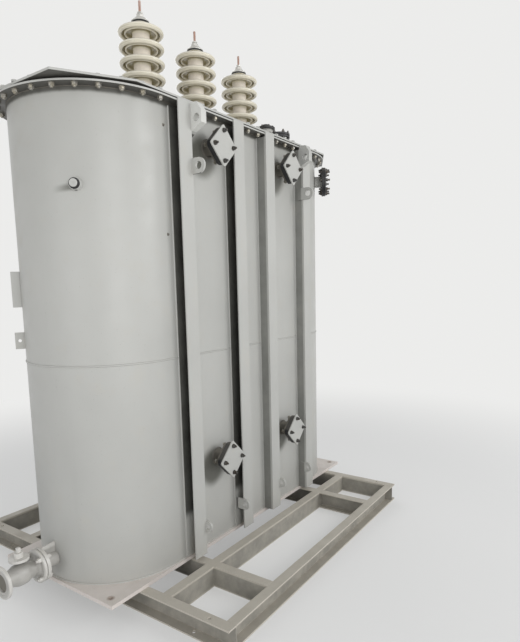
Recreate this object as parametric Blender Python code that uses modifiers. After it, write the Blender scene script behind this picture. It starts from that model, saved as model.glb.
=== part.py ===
"""Oil-filled power transformer, tank assembly.

A round-ended steel tank stands on a welded frame of channels. A flange runs
round its top, and a flat cover with cut corners is bolted down on a gasket.
Four channel stiffeners rise on each flat side, with lifting and guide eyes on
them. Between them sit the radiator valves, closed off by square plates. Three
porcelain bushings stand in a row on the cover, and a drain valve leaves the
foot of the near round end.

Metres, +Z up. X runs along the tank, the near round end is at -X and the
front flat side faces -Y. The origin is at the level that the frame stands on,
under the middle of the whole length from the drain valve to the far flange.
"""

import math

import bmesh
import bpy
from mathutils import Matrix, Vector

# Clearances
SEAT_GAP = 0.0003
MERGE_DISTANCE = 0.00001
SCREW_MERGE = 0.0001

# Driving sizes of the tank
TANK_RADIUS = 0.450
TANK_STRAIGHT = 1.540
WALL_THICKNESS = 0.008
WALL_TOP_Z = 2.613
SEAM_Z = 1.300
END_ARC_STEPS = 24

# Base frame, channels of one section, with holes in the flanges of the end beams
BEAM_HEIGHT = 0.120
BEAM_WIDTH = 0.058
BEAM_WEB = 0.006
BEAM_FLANGE = 0.009
BEAM_HOLE_RADIUS = 0.010
TOP_HOLE_INSET = 0.139
BOTTOM_HOLE_INSET = 0.245
FRAME_END_INSET = 0.172
FRAME_WIDTH = 2.090
INNER_BEAM_CLEARANCE = 0.148
CROSS_BEAM_X = 0.622

# Tank floor plate
FLOOR_THICKNESS = 0.020
FLOOR_OVERHANG = 0.014
FLOOR_HOLE_RADIUS = 0.012
FLOOR_HOLE_INSET_X = 0.044
FLOOR_HOLE_INSET_Y = 0.060

# Tank flange, gasket and cover
FLANGE_THICKNESS = 0.016
FLANGE_OVERHANG = 0.066
GASKET_THICKNESS = 0.010
GASKET_OVERHANG = 0.044
COVER_THICKNESS = 0.018
COVER_END_OVERHANG = 0.049
COVER_SIDE_OVERHANG = 0.055
COVER_CHAMFER_X = 0.336
COVER_CHAMFER_Y = 0.193

# Channel stiffeners on the flat sides
STIFFENER_WIDTH = 0.096
STIFFENER_PLATE = 0.008
STIFFENER_OUTER_X = 0.630
STIFFENER_INNER_X = 0.165
WELD_BITE = 0.004

# Lifting eyes on the outer stiffeners, measured out from the wall and down from its top
LUG_THICKNESS = 0.042
LUG_NOSE_REACH = 0.145
LUG_TOP_REACH = 0.115
LUG_WAIST_REACH = 0.072
LUG_FOOT_DROP = 0.165
LUG_WAIST_DROP = 0.118
LUG_NOSE_DROP = 0.084
LUG_SHOULDER_DROP = 0.020
LUG_TOP_RISE = 0.023
LUG_HOLE_DROP = 0.055
LUG_HOLE_REACH = 0.110
LUG_HOLE_RADIUS = 0.021

# Guide eyes on the flanks of the stiffeners
EYE_THICKNESS = 0.012
EYE_UPPER_RADIUS = 0.041
EYE_UPPER_REACH = 0.156
EYE_UPPER_DROP = 0.296
EYE_LOWER_RADIUS = 0.034
EYE_LOWER_REACH = 0.118
EYE_LOWER_HEIGHT = 0.165
EYE_HOLE_SHARE = 0.50
EYE_ROOT_REACH = 0.030

# Facets of round pieces, round a whole turn, and round a hole or an eye's half turn
ROUND_STEPS = 20
HOLE_STEPS = 12

# Radiator valves closed off by square plates, measured down from the wall's top
VALVE_X = 0.371
VALVE_UPPER_DROP = 0.158
VALVE_CENTRES = 1.800
VALVE_PIPE_RADIUS = 0.046
VALVE_PIPE_LENGTH = 0.062
VALVE_FLANGE_THICKNESS = 0.014
VALVE_BODY_SIDE = 0.150
VALVE_BODY_CORNER = 0.018
VALVE_BODY_THICKNESS = 0.034
VALVE_PLATE_SIDE = 0.165
VALVE_PLATE_CORNER = 0.010
VALVE_PLATE_THICKNESS = 0.012
VALVE_BITE = 0.002
CORNER_STEPS = 2
DIAMOND_TURN = math.radians(45.0)

# Bushings on the cover
BUSHING_PITCH = 0.470
BUSHING_Y = -0.065
BASE_RADIUS = 0.120
BASE_FLANGE_HEIGHT = 0.026
BASE_NECK_RADIUS = 0.096
BASE_HEIGHT = 0.070
PORCELAIN_HEIGHT = 0.455
PORCELAIN_FOOT_RADIUS = 0.086
PORCELAIN_FOOT_HEIGHT = 0.028
PORCELAIN_HEAD_RADIUS = 0.056
CORE_RADIUS = 0.050
SHED_COUNT = 5
SHED_TOP_DROP = 0.048
SHED_FOOT_RISE = 0.067
SHED_RADIUS = 0.130
SHED_ROOT_RISE = 0.030
SHED_RIM_RADIUS = 0.013
SHED_RIM_START = math.radians(66.0)
SHED_RIM_STEPS = 3
SHED_GROOVE_DEPTH = 0.018
SHED_RIDGE_RADIUS = 0.090
SHED_RIDGE_WIDTH = 0.016
SHED_RIDGE_DEPTH = 0.010
CAP_RADIUS = 0.052
CAP_HEIGHT = 0.033
CAP_TOP_RADIUS = 0.036
NUT_RADIUS = 0.024
NUT_HEIGHT = 0.030
STUD_RADIUS = 0.010
STUD_HEIGHT = 0.066

# Drain valve at the foot of the near end
DRAIN_HEIGHT = 0.117
DRAIN_PIPE_RADIUS = 0.038
DRAIN_PIPE_REACH = 0.081
DRAIN_FLANGE_RADIUS = 0.088
DRAIN_FLANGE_THICKNESS = 0.018
DRAIN_BODY_LENGTH = 0.206
DRAIN_BODY_RADIUS = 0.052
DRAIN_END_RADIUS = 0.082
GUSSET_RISE = 0.092
GUSSET_INSET = 0.004
GUSSET_THICKNESS = 0.008
BONNET_RADIUS = 0.040
BONNET_RISE = 0.078
BONNET_FLANGE_RADIUS = 0.050
BONNET_FLANGE_THICKNESS = 0.014
STEM_COLLAR_RADIUS = 0.022
STEM_COLLAR_RISE = 0.026
STEM_SQUARE = 0.018
STEM_SQUARE_RISE = 0.024

# Fittings on the round ends, measured down from the wall's top
END_BOSS_ANGLE = math.radians(-142.4)
END_BOSS_DROP = 0.436
END_BOSS_RADIUS = 0.026
END_BOSS_REACH = 0.034
END_BOSS_BORE_RADIUS = 0.022
END_BOSS_BORE_DEPTH = 0.012
END_PLUG_RADIUS = 0.017
END_PLUG_RISE = 0.010
END_PIPE_ANGLE = math.radians(-60.0)
END_PIPE_DROP = 0.143
END_PIPE_RADIUS = 0.040
END_PIPE_REACH = 0.055
END_FLANGE_RADIUS = 0.108
END_FLANGE_THICKNESS = 0.030
BRACKET_ANGLE = math.radians(150.0)
BRACKET_THICKNESS = 0.006
BRACKET_UPPER_DROP = 0.923
BRACKET_UPPER_HEIGHT = 0.190
BRACKET_UPPER_REACH = 0.045
BRACKET_LOWER_DROP = 1.198
BRACKET_LOWER_HEIGHT = 0.090
BRACKET_LOWER_REACH = 0.048
BRACKET_HOLE_RADIUS = 0.009
EMBED = 0.030

# Turret on the cover beyond the bushings
TURRET_SPACING = 0.340
TURRET_FLANGE_RADIUS = 0.095
TURRET_FLANGE_HEIGHT = 0.018
TURRET_NECK_RADIUS = 0.052
TURRET_HEIGHT = 0.240
TURRET_CAP_RADIUS = 0.070
TURRET_CAP_HEIGHT = 0.020
TURRET_KNOB_RADIUS = 0.034
TURRET_KNOB_HEIGHT = 0.018

# Blanked neck on the cover near its front edge
COVER_NECK_SPACING = 0.040
COVER_NECK_INSET = 0.130
COVER_NECK_RADIUS = 0.055
COVER_NECK_HEIGHT = 0.044
COVER_BLANK_RADIUS = 0.075
COVER_BLANK_THICKNESS = 0.030

# Margins of the cutters
OVERRUN = 0.050

HALF_SHARE = 0.5
QUARTER_TURN = HALF_SHARE * math.pi
SHARP_ANGLE = math.radians(32.0)

# Levels that follow from the sizes above
FLOOR_BASE_Z = BEAM_HEIGHT + SEAT_GAP
WALL_BASE_Z = FLOOR_BASE_Z + FLOOR_THICKNESS + SEAT_GAP
FLANGE_BASE_Z = WALL_TOP_Z + SEAT_GAP
GASKET_BASE_Z = FLANGE_BASE_Z + FLANGE_THICKNESS + SEAT_GAP
COVER_BASE_Z = GASKET_BASE_Z + GASKET_THICKNESS + SEAT_GAP
COVER_TOP_Z = COVER_BASE_Z + COVER_THICKNESS

# Places that follow from the sizes above
HALF_STRAIGHT = HALF_SHARE * TANK_STRAIGHT
FRAME_LENGTH = (HALF_STRAIGHT + TANK_RADIUS - FRAME_END_INSET) / HALF_SHARE
INNER_BEAM_Y = TANK_RADIUS + INNER_BEAM_CLEARANCE
TOP_HOLE_Y = HALF_SHARE * FRAME_WIDTH - TOP_HOLE_INSET
BOTTOM_HOLE_Y = HALF_SHARE * FRAME_WIDTH - BOTTOM_HOLE_INSET
SHED_PITCH = (PORCELAIN_HEIGHT - SHED_TOP_DROP - SHED_FOOT_RISE) / (SHED_COUNT - 1)
FLANGE_EDGE_Y = TANK_RADIUS + FLANGE_OVERHANG
STIFFENER_FACE_Y = FLANGE_EDGE_Y + SEAT_GAP + STIFFENER_PLATE
STIFFENER_TOP_Z = COVER_BASE_Z
BUSHING_BASE_Z = COVER_TOP_Z + SEAT_GAP
DRAIN_FLANGE_X = HALF_STRAIGHT + TANK_RADIUS + SEAT_GAP + DRAIN_PIPE_REACH
DRAIN_BODY_X = DRAIN_FLANGE_X + DRAIN_FLANGE_THICKNESS + SEAT_GAP
NEAR_REACH = DRAIN_BODY_X + DRAIN_BODY_LENGTH
FAR_REACH = HALF_STRAIGHT + FLANGE_EDGE_Y

# Directions in which a flat outline is thickened
ALONG_X = Matrix(((0, 0, 1), (1, 0, 0), (0, 1, 0))).to_4x4()
ALONG_Y = Matrix(((1, 0, 0), (0, 0, -1), (0, 1, 0))).to_4x4()
ALONG_Z = Matrix.Identity(4)

LIGHT_PAINT = (0.50, 0.50, 0.47, 1.0)
FRAME_PAINT = (0.56, 0.54, 0.47, 1.0)
IVORY = (0.74, 0.69, 0.56, 1.0)
BLACK = (0.02, 0.02, 0.02, 1.0)
STEEL = (0.50, 0.50, 0.50, 1.0)


def clear_scene():
    """Remove every object that is in the file."""
    for item in list(bpy.data.objects):
        bpy.data.objects.remove(item, do_unlink=True)


def make_collection(name):
    """Make a collection and hang it under the scene."""
    collection = bpy.data.collections.new(name)
    bpy.context.scene.collection.children.link(collection)
    return collection


def make_material(name, color, roughness, metallic):
    """Make a plain Principled material."""
    material = bpy.data.materials.new(name)
    material.use_nodes = True
    shader = material.node_tree.nodes["Principled BSDF"]
    shader.inputs["Base Color"].default_value = color
    shader.inputs["Roughness"].default_value = roughness
    shader.inputs["Metallic"].default_value = metallic
    return material


clear_scene()
PARTS = make_collection("power_transformer")
CUTTERS = make_collection("cutters")

ROOT = bpy.data.objects.new("power_transformer_root", None)
ROOT.location.x = HALF_SHARE * (NEAR_REACH - FAR_REACH)
PARTS.objects.link(ROOT)


def arc(center_x, center_y, radius, start, sweep, steps):
    """Points of an arc, both ends included."""
    points = []
    for step in range(steps + 1):
        angle = start + sweep * step / steps
        points.append((center_x + radius * math.cos(angle), center_y + radius * math.sin(angle)))
    return points


def circle(center_x, center_y, radius):
    """Points of a round hole."""
    return arc(center_x, center_y, radius, 0, math.tau, HOLE_STEPS)[:-1]


def obround(radius):
    """Outline of the tank at a radius: two straight sides joined by half circles."""
    right = arc(HALF_STRAIGHT, 0, radius, -QUARTER_TURN, math.pi, END_ARC_STEPS)
    left = arc(-HALF_STRAIGHT, 0, radius, QUARTER_TURN, math.pi, END_ARC_STEPS)
    return right + left


def rectangle(width, height, center_x=0, center_y=0):
    """Outline of a rectangle about a centre."""
    half_width = HALF_SHARE * width
    half_height = HALF_SHARE * height
    return [
        (center_x - half_width, center_y - half_height),
        (center_x + half_width, center_y - half_height),
        (center_x + half_width, center_y + half_height),
        (center_x - half_width, center_y + half_height),
    ]


def rounded_square(side, corner, turn):
    """Outline of a square with round corners, turned about its centre."""
    inset = HALF_SHARE * side - corner
    points = []
    for quarter, (sign_x, sign_y) in enumerate(((1, 1), (-1, 1), (-1, -1), (1, -1))):
        start = QUARTER_TURN * quarter
        points += arc(sign_x * inset, sign_y * inset, corner, start, QUARTER_TURN, CORNER_STEPS)
    cosine = math.cos(turn)
    sine = math.sin(turn)
    return [(x * cosine - y * sine, x * sine + y * cosine) for x, y in points]


def mirrored(outline, sign):
    """The outline mirrored in its first axis when the sign is negative."""
    if sign > 0:
        return outline
    return [(-x, y) for x, y in reversed(outline)]


def link_solid(name, mesh, matrix, material):
    """Link a mesh object as a part, or as a cutter when it has no material."""
    item = bpy.data.objects.new(name, mesh)
    item.matrix_world = matrix
    item.parent = ROOT
    if material is None:
        CUTTERS.objects.link(item)
        item.hide_render = True
        item.display_type = "WIRE"
    else:
        PARTS.objects.link(item)
        if not mesh.materials:
            mesh.materials.append(material)
    return item


def smooth(mesh):
    """Shade a mesh smooth but for its sharp edges."""
    mesh.shade_smooth()
    mesh.set_sharp_from_angle(angle=SHARP_ANGLE)


def tidy_mesh(mesh):
    """Weld the seams of a mesh and face it outwards."""
    work = bmesh.new()
    work.from_mesh(mesh)
    bmesh.ops.remove_doubles(work, verts=work.verts, dist=MERGE_DISTANCE)
    bmesh.ops.recalc_face_normals(work, faces=work.faces)
    work.to_mesh(mesh)
    work.free()


def plate(name, outlines, thickness, location, direction, material):
    """Thicken a flat outline and its holes, centred on its location."""
    curve = bpy.data.curves.new(name, "CURVE")
    curve.dimensions = "2D"
    curve.fill_mode = "BOTH"
    curve.extrude = HALF_SHARE * thickness
    for outline in outlines:
        spline = curve.splines.new("POLY")
        spline.points.add(len(outline) - 1)
        for point, (x, y) in zip(spline.points, outline):
            point.co = (x, y, 0, 1)
        spline.use_cyclic_u = True
    guide = bpy.data.objects.new(name + "_outline", curve)
    CUTTERS.objects.link(guide)
    bpy.context.view_layer.update()
    depsgraph = bpy.context.evaluated_depsgraph_get()
    mesh = bpy.data.meshes.new_from_object(guide.evaluated_get(depsgraph))
    mesh.name = name
    bpy.data.objects.remove(guide, do_unlink=True)
    tidy_mesh(mesh)
    smooth(mesh)
    return link_solid(name, mesh, Matrix.Translation(location) @ direction, material)


def round_bar(name, radius, length, location, direction, material):
    """A cylinder centred on its location, its axis along the direction."""
    mesh = bpy.data.meshes.new(name)
    work = bmesh.new()
    bmesh.ops.create_cone(
        work, cap_ends=True, segments=ROUND_STEPS, radius1=radius, radius2=radius, depth=length
    )
    work.to_mesh(mesh)
    work.free()
    smooth(mesh)
    return link_solid(name, mesh, Matrix.Translation(location) @ direction, material)


def block(name, size, location, material):
    """A box of a given size centred on its location."""
    mesh = bpy.data.meshes.new(name)
    work = bmesh.new()
    bmesh.ops.create_cube(work, size=1)
    bmesh.ops.scale(work, vec=size, verts=work.verts)
    work.to_mesh(mesh)
    work.free()
    return link_solid(name, mesh, Matrix.Translation(location), material)


def turned(name, profile, location, direction, material):
    """Turn a profile, listed from top to bottom, about its own upright axis."""
    mesh = bpy.data.meshes.new(name)
    work = bmesh.new()
    verts = [work.verts.new((radius, 0, height)) for radius, height in profile]
    for first, second in zip(verts, verts[1:]):
        work.edges.new((first, second))
    work.to_mesh(mesh)
    work.free()
    item = link_solid(name, mesh, Matrix.Translation(location) @ direction, material)
    screw = item.modifiers.new("turn", "SCREW")
    screw.axis = "Z"
    screw.steps = ROUND_STEPS
    screw.render_steps = ROUND_STEPS
    screw.use_merge_vertices = True
    screw.merge_threshold = SCREW_MERGE
    screw.use_smooth_shade = True
    return item


def combine(item, other, operation, solver="EXACT"):
    """Join or cut an object with another by a Boolean."""
    modifier = item.modifiers.new(other.name, "BOOLEAN")
    modifier.operation = operation
    modifier.solver = solver
    modifier.object = other


def radial(angle):
    """Turn that points a local Z axis away from an upright axis at an angle."""
    outward = Vector((math.cos(angle), math.sin(angle), 0))
    return outward.to_track_quat("Z", "Y").to_matrix().to_4x4()


def channel_section(web_side):
    """Outline of a frame channel, upright about its centre, its web on one side."""
    half_width = HALF_SHARE * BEAM_WIDTH
    half_height = HALF_SHARE * BEAM_HEIGHT
    inner = half_height - BEAM_FLANGE
    outline = [
        (-half_width, -half_height),
        (half_width, -half_height),
        (half_width, half_height),
        (-half_width, half_height),
        (-half_width, inner),
        (half_width - BEAM_WEB, inner),
        (half_width - BEAM_WEB, -inner),
        (-half_width, -inner),
    ]
    return mirrored(outline, web_side)


def drill_end_beam(beam, center_x):
    """Drill the holes through the upper and the lower flange of an end beam."""
    half_flange = HALF_SHARE * BEAM_FLANGE
    rows = (("top", TOP_HOLE_Y, BEAM_HEIGHT - half_flange), ("bottom", BOTTOM_HOLE_Y, half_flange))
    for row_name, reach, level in rows:
        for side_name, side in (("front", -1), ("rear", 1)):
            name = f"{beam.name}_{row_name}_hole_{side_name}"
            place = (center_x, side * reach, level)
            drill = round_bar(name, BEAM_HOLE_RADIUS, BEAM_FLANGE + OVERRUN, place, ALONG_Z, None)
            combine(beam, drill, "DIFFERENCE")


def build_frame(paint):
    """Welded frame of channels.

    The beams round its edge are open outwards. The two long beams and two
    cross beams of the grid inside have their webs on the outer side.
    """
    center_z = HALF_SHARE * BEAM_HEIGHT
    half_beam = HALF_SHARE * BEAM_WIDTH
    end_x = HALF_SHARE * FRAME_LENGTH - half_beam
    side_y = HALF_SHARE * FRAME_WIDTH - half_beam
    span_x = FRAME_LENGTH - BEAM_WIDTH - BEAM_WIDTH - SEAT_GAP - SEAT_GAP
    span_y = FRAME_WIDTH - BEAM_WIDTH - BEAM_WIDTH - SEAT_GAP - SEAT_GAP
    sections = {side: [channel_section(side)] for side in (-1, 1)}
    for name, sign in (("near", -1), ("far", 1)):
        place = (sign * end_x, 0, center_z)
        outline = sections[-sign]
        beam = plate("base_beam_end_" + name, outline, FRAME_WIDTH, place, ALONG_Y, paint)
        drill_end_beam(beam, sign * end_x)
    for name, sign in (("front", -1), ("rear", 1)):
        place = (0, sign * side_y, center_z)
        plate("base_beam_side_" + name, sections[-sign], span_x, place, ALONG_X, paint)
    place = (0, -INNER_BEAM_Y, center_z)
    grid = plate("base_frame_grid", sections[-1], span_x, place, ALONG_X, paint)
    place = (0, INNER_BEAM_Y, center_z)
    rear = plate("grid_rear", sections[1], span_x, place, ALONG_X, None)
    combine(grid, rear, "UNION", "MANIFOLD")
    for name, sign in (("near", -1), ("far", 1)):
        place = (sign * CROSS_BEAM_X, 0, center_z)
        cross = plate("grid_cross_" + name, sections[sign], span_y, place, ALONG_Y, None)
        combine(grid, cross, "UNION", "MANIFOLD")


def build_floor(paint):
    """Flat floor plate with a hole near each corner."""
    length = TANK_STRAIGHT + (TANK_RADIUS + FLOOR_OVERHANG) / HALF_SHARE
    width = (TANK_RADIUS + FLOOR_OVERHANG) / HALF_SHARE
    hole_x = HALF_SHARE * length - FLOOR_HOLE_INSET_X
    hole_y = HALF_SHARE * width - FLOOR_HOLE_INSET_Y
    outlines = [rectangle(length, width)]
    for sign_x in (-1, 1):
        for sign_y in (-1, 1):
            outlines.append(circle(sign_x * hole_x, sign_y * hole_y, FLOOR_HOLE_RADIUS))
    center_z = FLOOR_BASE_Z + HALF_SHARE * FLOOR_THICKNESS
    plate("tank_floor", outlines, FLOOR_THICKNESS, (0, 0, center_z), ALONG_Z, paint)


def build_wall(name, base_z, top_z, paint):
    """One course of the tank wall: an open surface made solid inwards."""
    mesh = bpy.data.meshes.new(name)
    work = bmesh.new()
    verts = [work.verts.new((x, y, 0)) for x, y in obround(TANK_RADIUS)]
    edges = [work.edges.new(pair) for pair in zip(verts, verts[1:] + verts[:1])]
    raised = bmesh.ops.extrude_edge_only(work, edges=edges)
    moved = [item for item in raised["geom"] if isinstance(item, bmesh.types.BMVert)]
    bmesh.ops.translate(work, verts=moved, vec=(0, 0, top_z - base_z))
    work.normal_update()
    inward = [face for face in work.faces if face.normal.dot(face.calc_center_median()) < 0]
    bmesh.ops.reverse_faces(work, faces=inward)
    work.to_mesh(mesh)
    work.free()
    smooth(mesh)
    item = link_solid(name, mesh, Matrix.Translation((0, 0, base_z)), paint)
    shell = item.modifiers.new("thickness", "SOLIDIFY")
    shell.thickness = WALL_THICKNESS
    shell.offset = -1
    shell.use_even_offset = True


def build_top(paint, rubber):
    """Tank flange, gasket and the cover with its four corners cut."""
    bore = obround(TANK_RADIUS - WALL_THICKNESS)
    rim = obround(TANK_RADIUS + FLANGE_OVERHANG)
    place = (0, 0, FLANGE_BASE_Z + HALF_SHARE * FLANGE_THICKNESS)
    plate("tank_flange", [rim, bore], FLANGE_THICKNESS, place, ALONG_Z, paint)
    ring = obround(TANK_RADIUS + GASKET_OVERHANG)
    place = (0, 0, GASKET_BASE_Z + HALF_SHARE * GASKET_THICKNESS)
    plate("cover_gasket", [ring, bore], GASKET_THICKNESS, place, ALONG_Z, rubber)
    end_x = HALF_STRAIGHT + TANK_RADIUS + COVER_END_OVERHANG
    side_y = TANK_RADIUS + COVER_SIDE_OVERHANG
    right = [
        (end_x - COVER_CHAMFER_X, -side_y),
        (end_x, -side_y + COVER_CHAMFER_Y),
        (end_x, side_y - COVER_CHAMFER_Y),
        (end_x - COVER_CHAMFER_X, side_y),
    ]
    left = [(-x, -y) for x, y in right]
    place = (0, 0, COVER_BASE_Z + HALF_SHARE * COVER_THICKNESS)
    plate("cover_plate", [right + left], COVER_THICKNESS, place, ALONG_Z, paint)


def stiffener_outline(side, web_side):
    """Outline of a stiffener, a channel with a flange on the wall and its web on one side."""
    half = HALF_SHARE * STIFFENER_WIDTH
    web = half - STIFFENER_PLATE
    root = TANK_RADIUS - EMBED
    wall_flange = TANK_RADIUS + SEAT_GAP + STIFFENER_PLATE
    outer_flange = STIFFENER_FACE_Y - STIFFENER_PLATE
    points = [
        (-half, root),
        (half, root),
        (half, STIFFENER_FACE_Y),
        (-half, STIFFENER_FACE_Y),
        (-half, outer_flange),
        (web, outer_flange),
        (web, wall_flange),
        (-half, wall_flange),
    ]
    return [(web_side * x, side * y) for x, y in points]


def eye_outline(side, radius, reach):
    """Outline of a guide eye in a plane across the wall, about its hole's height."""
    tip = TANK_RADIUS + reach
    root = TANK_RADIUS + EYE_ROOT_REACH
    nose = arc(tip - radius, 0, radius, -QUARTER_TURN, math.pi, HOLE_STEPS)
    points = [(root, -radius)] + nose + [(root, radius)]
    return mirrored(points, side)


def add_eye(stiffener, name, side, flank_x, flank_sign, height, radius, reach):
    """Weld a guide eye to a flank of a stiffener."""
    center_x = flank_x + flank_sign * (HALF_SHARE * EYE_THICKNESS - WELD_BITE)
    hole = circle(side * (TANK_RADIUS + reach - radius), 0, radius * EYE_HOLE_SHARE)
    outlines = [eye_outline(side, radius, reach), hole]
    place = (center_x, 0, height)
    eye = plate(name, outlines, EYE_THICKNESS, place, ALONG_X, None)
    combine(stiffener, eye, "UNION")


def lug_outline(side):
    """Outline of a lifting eye in a plane across the wall."""
    root = TANK_RADIUS - EMBED
    points = [
        (root, WALL_TOP_Z - LUG_FOOT_DROP),
        (TANK_RADIUS, WALL_TOP_Z - LUG_FOOT_DROP),
        (TANK_RADIUS + LUG_WAIST_REACH, WALL_TOP_Z - LUG_WAIST_DROP),
        (TANK_RADIUS + LUG_NOSE_REACH, WALL_TOP_Z - LUG_NOSE_DROP),
        (TANK_RADIUS + LUG_NOSE_REACH, WALL_TOP_Z - LUG_SHOULDER_DROP),
        (TANK_RADIUS + LUG_TOP_REACH, WALL_TOP_Z + LUG_TOP_RISE),
        (root, WALL_TOP_Z + LUG_TOP_RISE),
    ]
    return mirrored(points, side)


def build_stiffener(name, side, center_x, outer, envelopes, paint):
    """A stiffener, open towards the nearer end, with the eyes that are welded to it."""
    height = STIFFENER_TOP_Z - WALL_BASE_Z
    place = (center_x, 0, WALL_BASE_Z + HALF_SHARE * height)
    inward = -1 if center_x > 0 else 1
    outline = stiffener_outline(side, inward)
    stiffener = plate(name, [outline], height, place, ALONG_Z, paint)
    flank_sign = inward if outer else -inward
    flank_x = center_x + flank_sign * HALF_SHARE * STIFFENER_WIDTH
    height = FLOOR_BASE_Z + FLOOR_THICKNESS + EYE_LOWER_HEIGHT
    add_eye(
        stiffener, name + "_lower_eye", side, flank_x, flank_sign,
        height, EYE_LOWER_RADIUS, EYE_LOWER_REACH,
    )
    if outer:
        height = WALL_TOP_Z - EYE_UPPER_DROP
        add_eye(
            stiffener, name + "_upper_eye", side, flank_x, flank_sign,
            height, EYE_UPPER_RADIUS, EYE_UPPER_REACH,
        )
        lug_x = flank_x + flank_sign * (HALF_SHARE * LUG_THICKNESS - WELD_BITE)
        hole_y = side * (TANK_RADIUS + LUG_HOLE_REACH)
        hole = circle(hole_y, WALL_TOP_Z - LUG_HOLE_DROP, LUG_HOLE_RADIUS)
        outlines = [lug_outline(side), hole]
        lug = plate(name + "_lug", outlines, LUG_THICKNESS, (lug_x, 0, 0), ALONG_X, None)
        combine(stiffener, lug, "UNION")
    for envelope in envelopes:
        combine(stiffener, envelope, "DIFFERENCE")


def build_stiffeners(envelopes, paint):
    """Four stiffeners on each flat side."""
    rows = (
        (-STIFFENER_OUTER_X, True),
        (-STIFFENER_INNER_X, False),
        (STIFFENER_INNER_X, False),
        (STIFFENER_OUTER_X, True),
    )
    for side_name, side in (("front", -1), ("rear", 1)):
        for number, (center_x, outer) in enumerate(rows, start=1):
            name = f"stiffener_{side_name}_{number}"
            build_stiffener(name, side, center_x, outer, envelopes, paint)


def build_valve(name, side, center_x, center_z, paint):
    """A radiator valve on its pipe, closed by a square plate with its corner up."""
    start = TANK_RADIUS + SEAT_GAP
    flange_start = start + VALVE_PIPE_LENGTH
    body_start = flange_start + VALVE_FLANGE_THICKNESS
    plate_start = body_start + VALVE_BODY_THICKNESS
    flange_end = plate_start + VALVE_PLATE_THICKNESS
    layers = (
        ("body", flange_start + VALVE_BITE, plate_start + VALVE_BITE, VALVE_BODY_SIDE, VALVE_BODY_CORNER),
        ("plate", plate_start, flange_end, VALVE_PLATE_SIDE, VALVE_PLATE_CORNER),
    )
    place = (center_x, side * (flange_start + HALF_SHARE * VALVE_FLANGE_THICKNESS), center_z)
    outline = rounded_square(VALVE_PLATE_SIDE, VALVE_PLATE_CORNER, DIAMOND_TURN)
    valve = plate(name, [outline], VALVE_FLANGE_THICKNESS, place, ALONG_Y, paint)
    pipe_length = VALVE_PIPE_LENGTH + VALVE_BITE
    place = (center_x, side * (start + HALF_SHARE * pipe_length), center_z)
    pipe = round_bar(name + "_pipe", VALVE_PIPE_RADIUS, pipe_length, place, ALONG_Y, None)
    combine(valve, pipe, "UNION")
    for layer, inner, outer, width, corner in layers:
        place = (center_x, side * HALF_SHARE * (inner + outer), center_z)
        outline = rounded_square(width, corner, DIAMOND_TURN)
        solid = plate(f"{name}_{layer}", [outline], outer - inner, place, ALONG_Y, None)
        combine(valve, solid, "UNION")


def build_valves(paint):
    """Upper and lower radiator valves on both flat sides."""
    upper_z = WALL_TOP_Z - VALVE_UPPER_DROP
    rows = (("upper", upper_z), ("lower", upper_z - VALVE_CENTRES))
    for side_name, side in (("front", -1), ("rear", 1)):
        for row_name, center_z in rows:
            for end_name, sign in (("near", -1), ("far", 1)):
                name = f"radiator_valve_{side_name}_{row_name}_{end_name}"
                build_valve(name, side, sign * VALVE_X, center_z, paint)


def porcelain_profile():
    """Profile of the porcelain from its head down.

    Each shed slopes from the core to a round rim. Its underside is hollowed
    by two grooves with a drip ridge between them.
    """
    profile = [(0, PORCELAIN_HEIGHT), (PORCELAIN_HEAD_RADIUS, PORCELAIN_HEIGHT)]
    rim_x = SHED_RADIUS - SHED_RIM_RADIUS
    rim_sweep = -QUARTER_TURN - SHED_RIM_START
    for shed in range(SHED_COUNT):
        rim_z = PORCELAIN_HEIGHT - SHED_TOP_DROP - shed * SHED_PITCH
        groove_z = rim_z - SHED_RIM_RADIUS + SHED_GROOVE_DEPTH
        profile.append((CORE_RADIUS, rim_z + SHED_ROOT_RISE))
        profile += arc(rim_x, rim_z, SHED_RIM_RADIUS, SHED_RIM_START, rim_sweep, SHED_RIM_STEPS)
        profile.append((SHED_RIDGE_RADIUS + SHED_RIDGE_WIDTH, groove_z))
        profile.append((SHED_RIDGE_RADIUS, groove_z - SHED_RIDGE_DEPTH))
        profile.append((SHED_RIDGE_RADIUS - SHED_RIDGE_WIDTH, groove_z))
        profile.append((CORE_RADIUS, groove_z))
    profile.append((PORCELAIN_FOOT_RADIUS, PORCELAIN_FOOT_HEIGHT))
    profile.append((PORCELAIN_FOOT_RADIUS, 0))
    profile.append((0, 0))
    return profile


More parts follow.
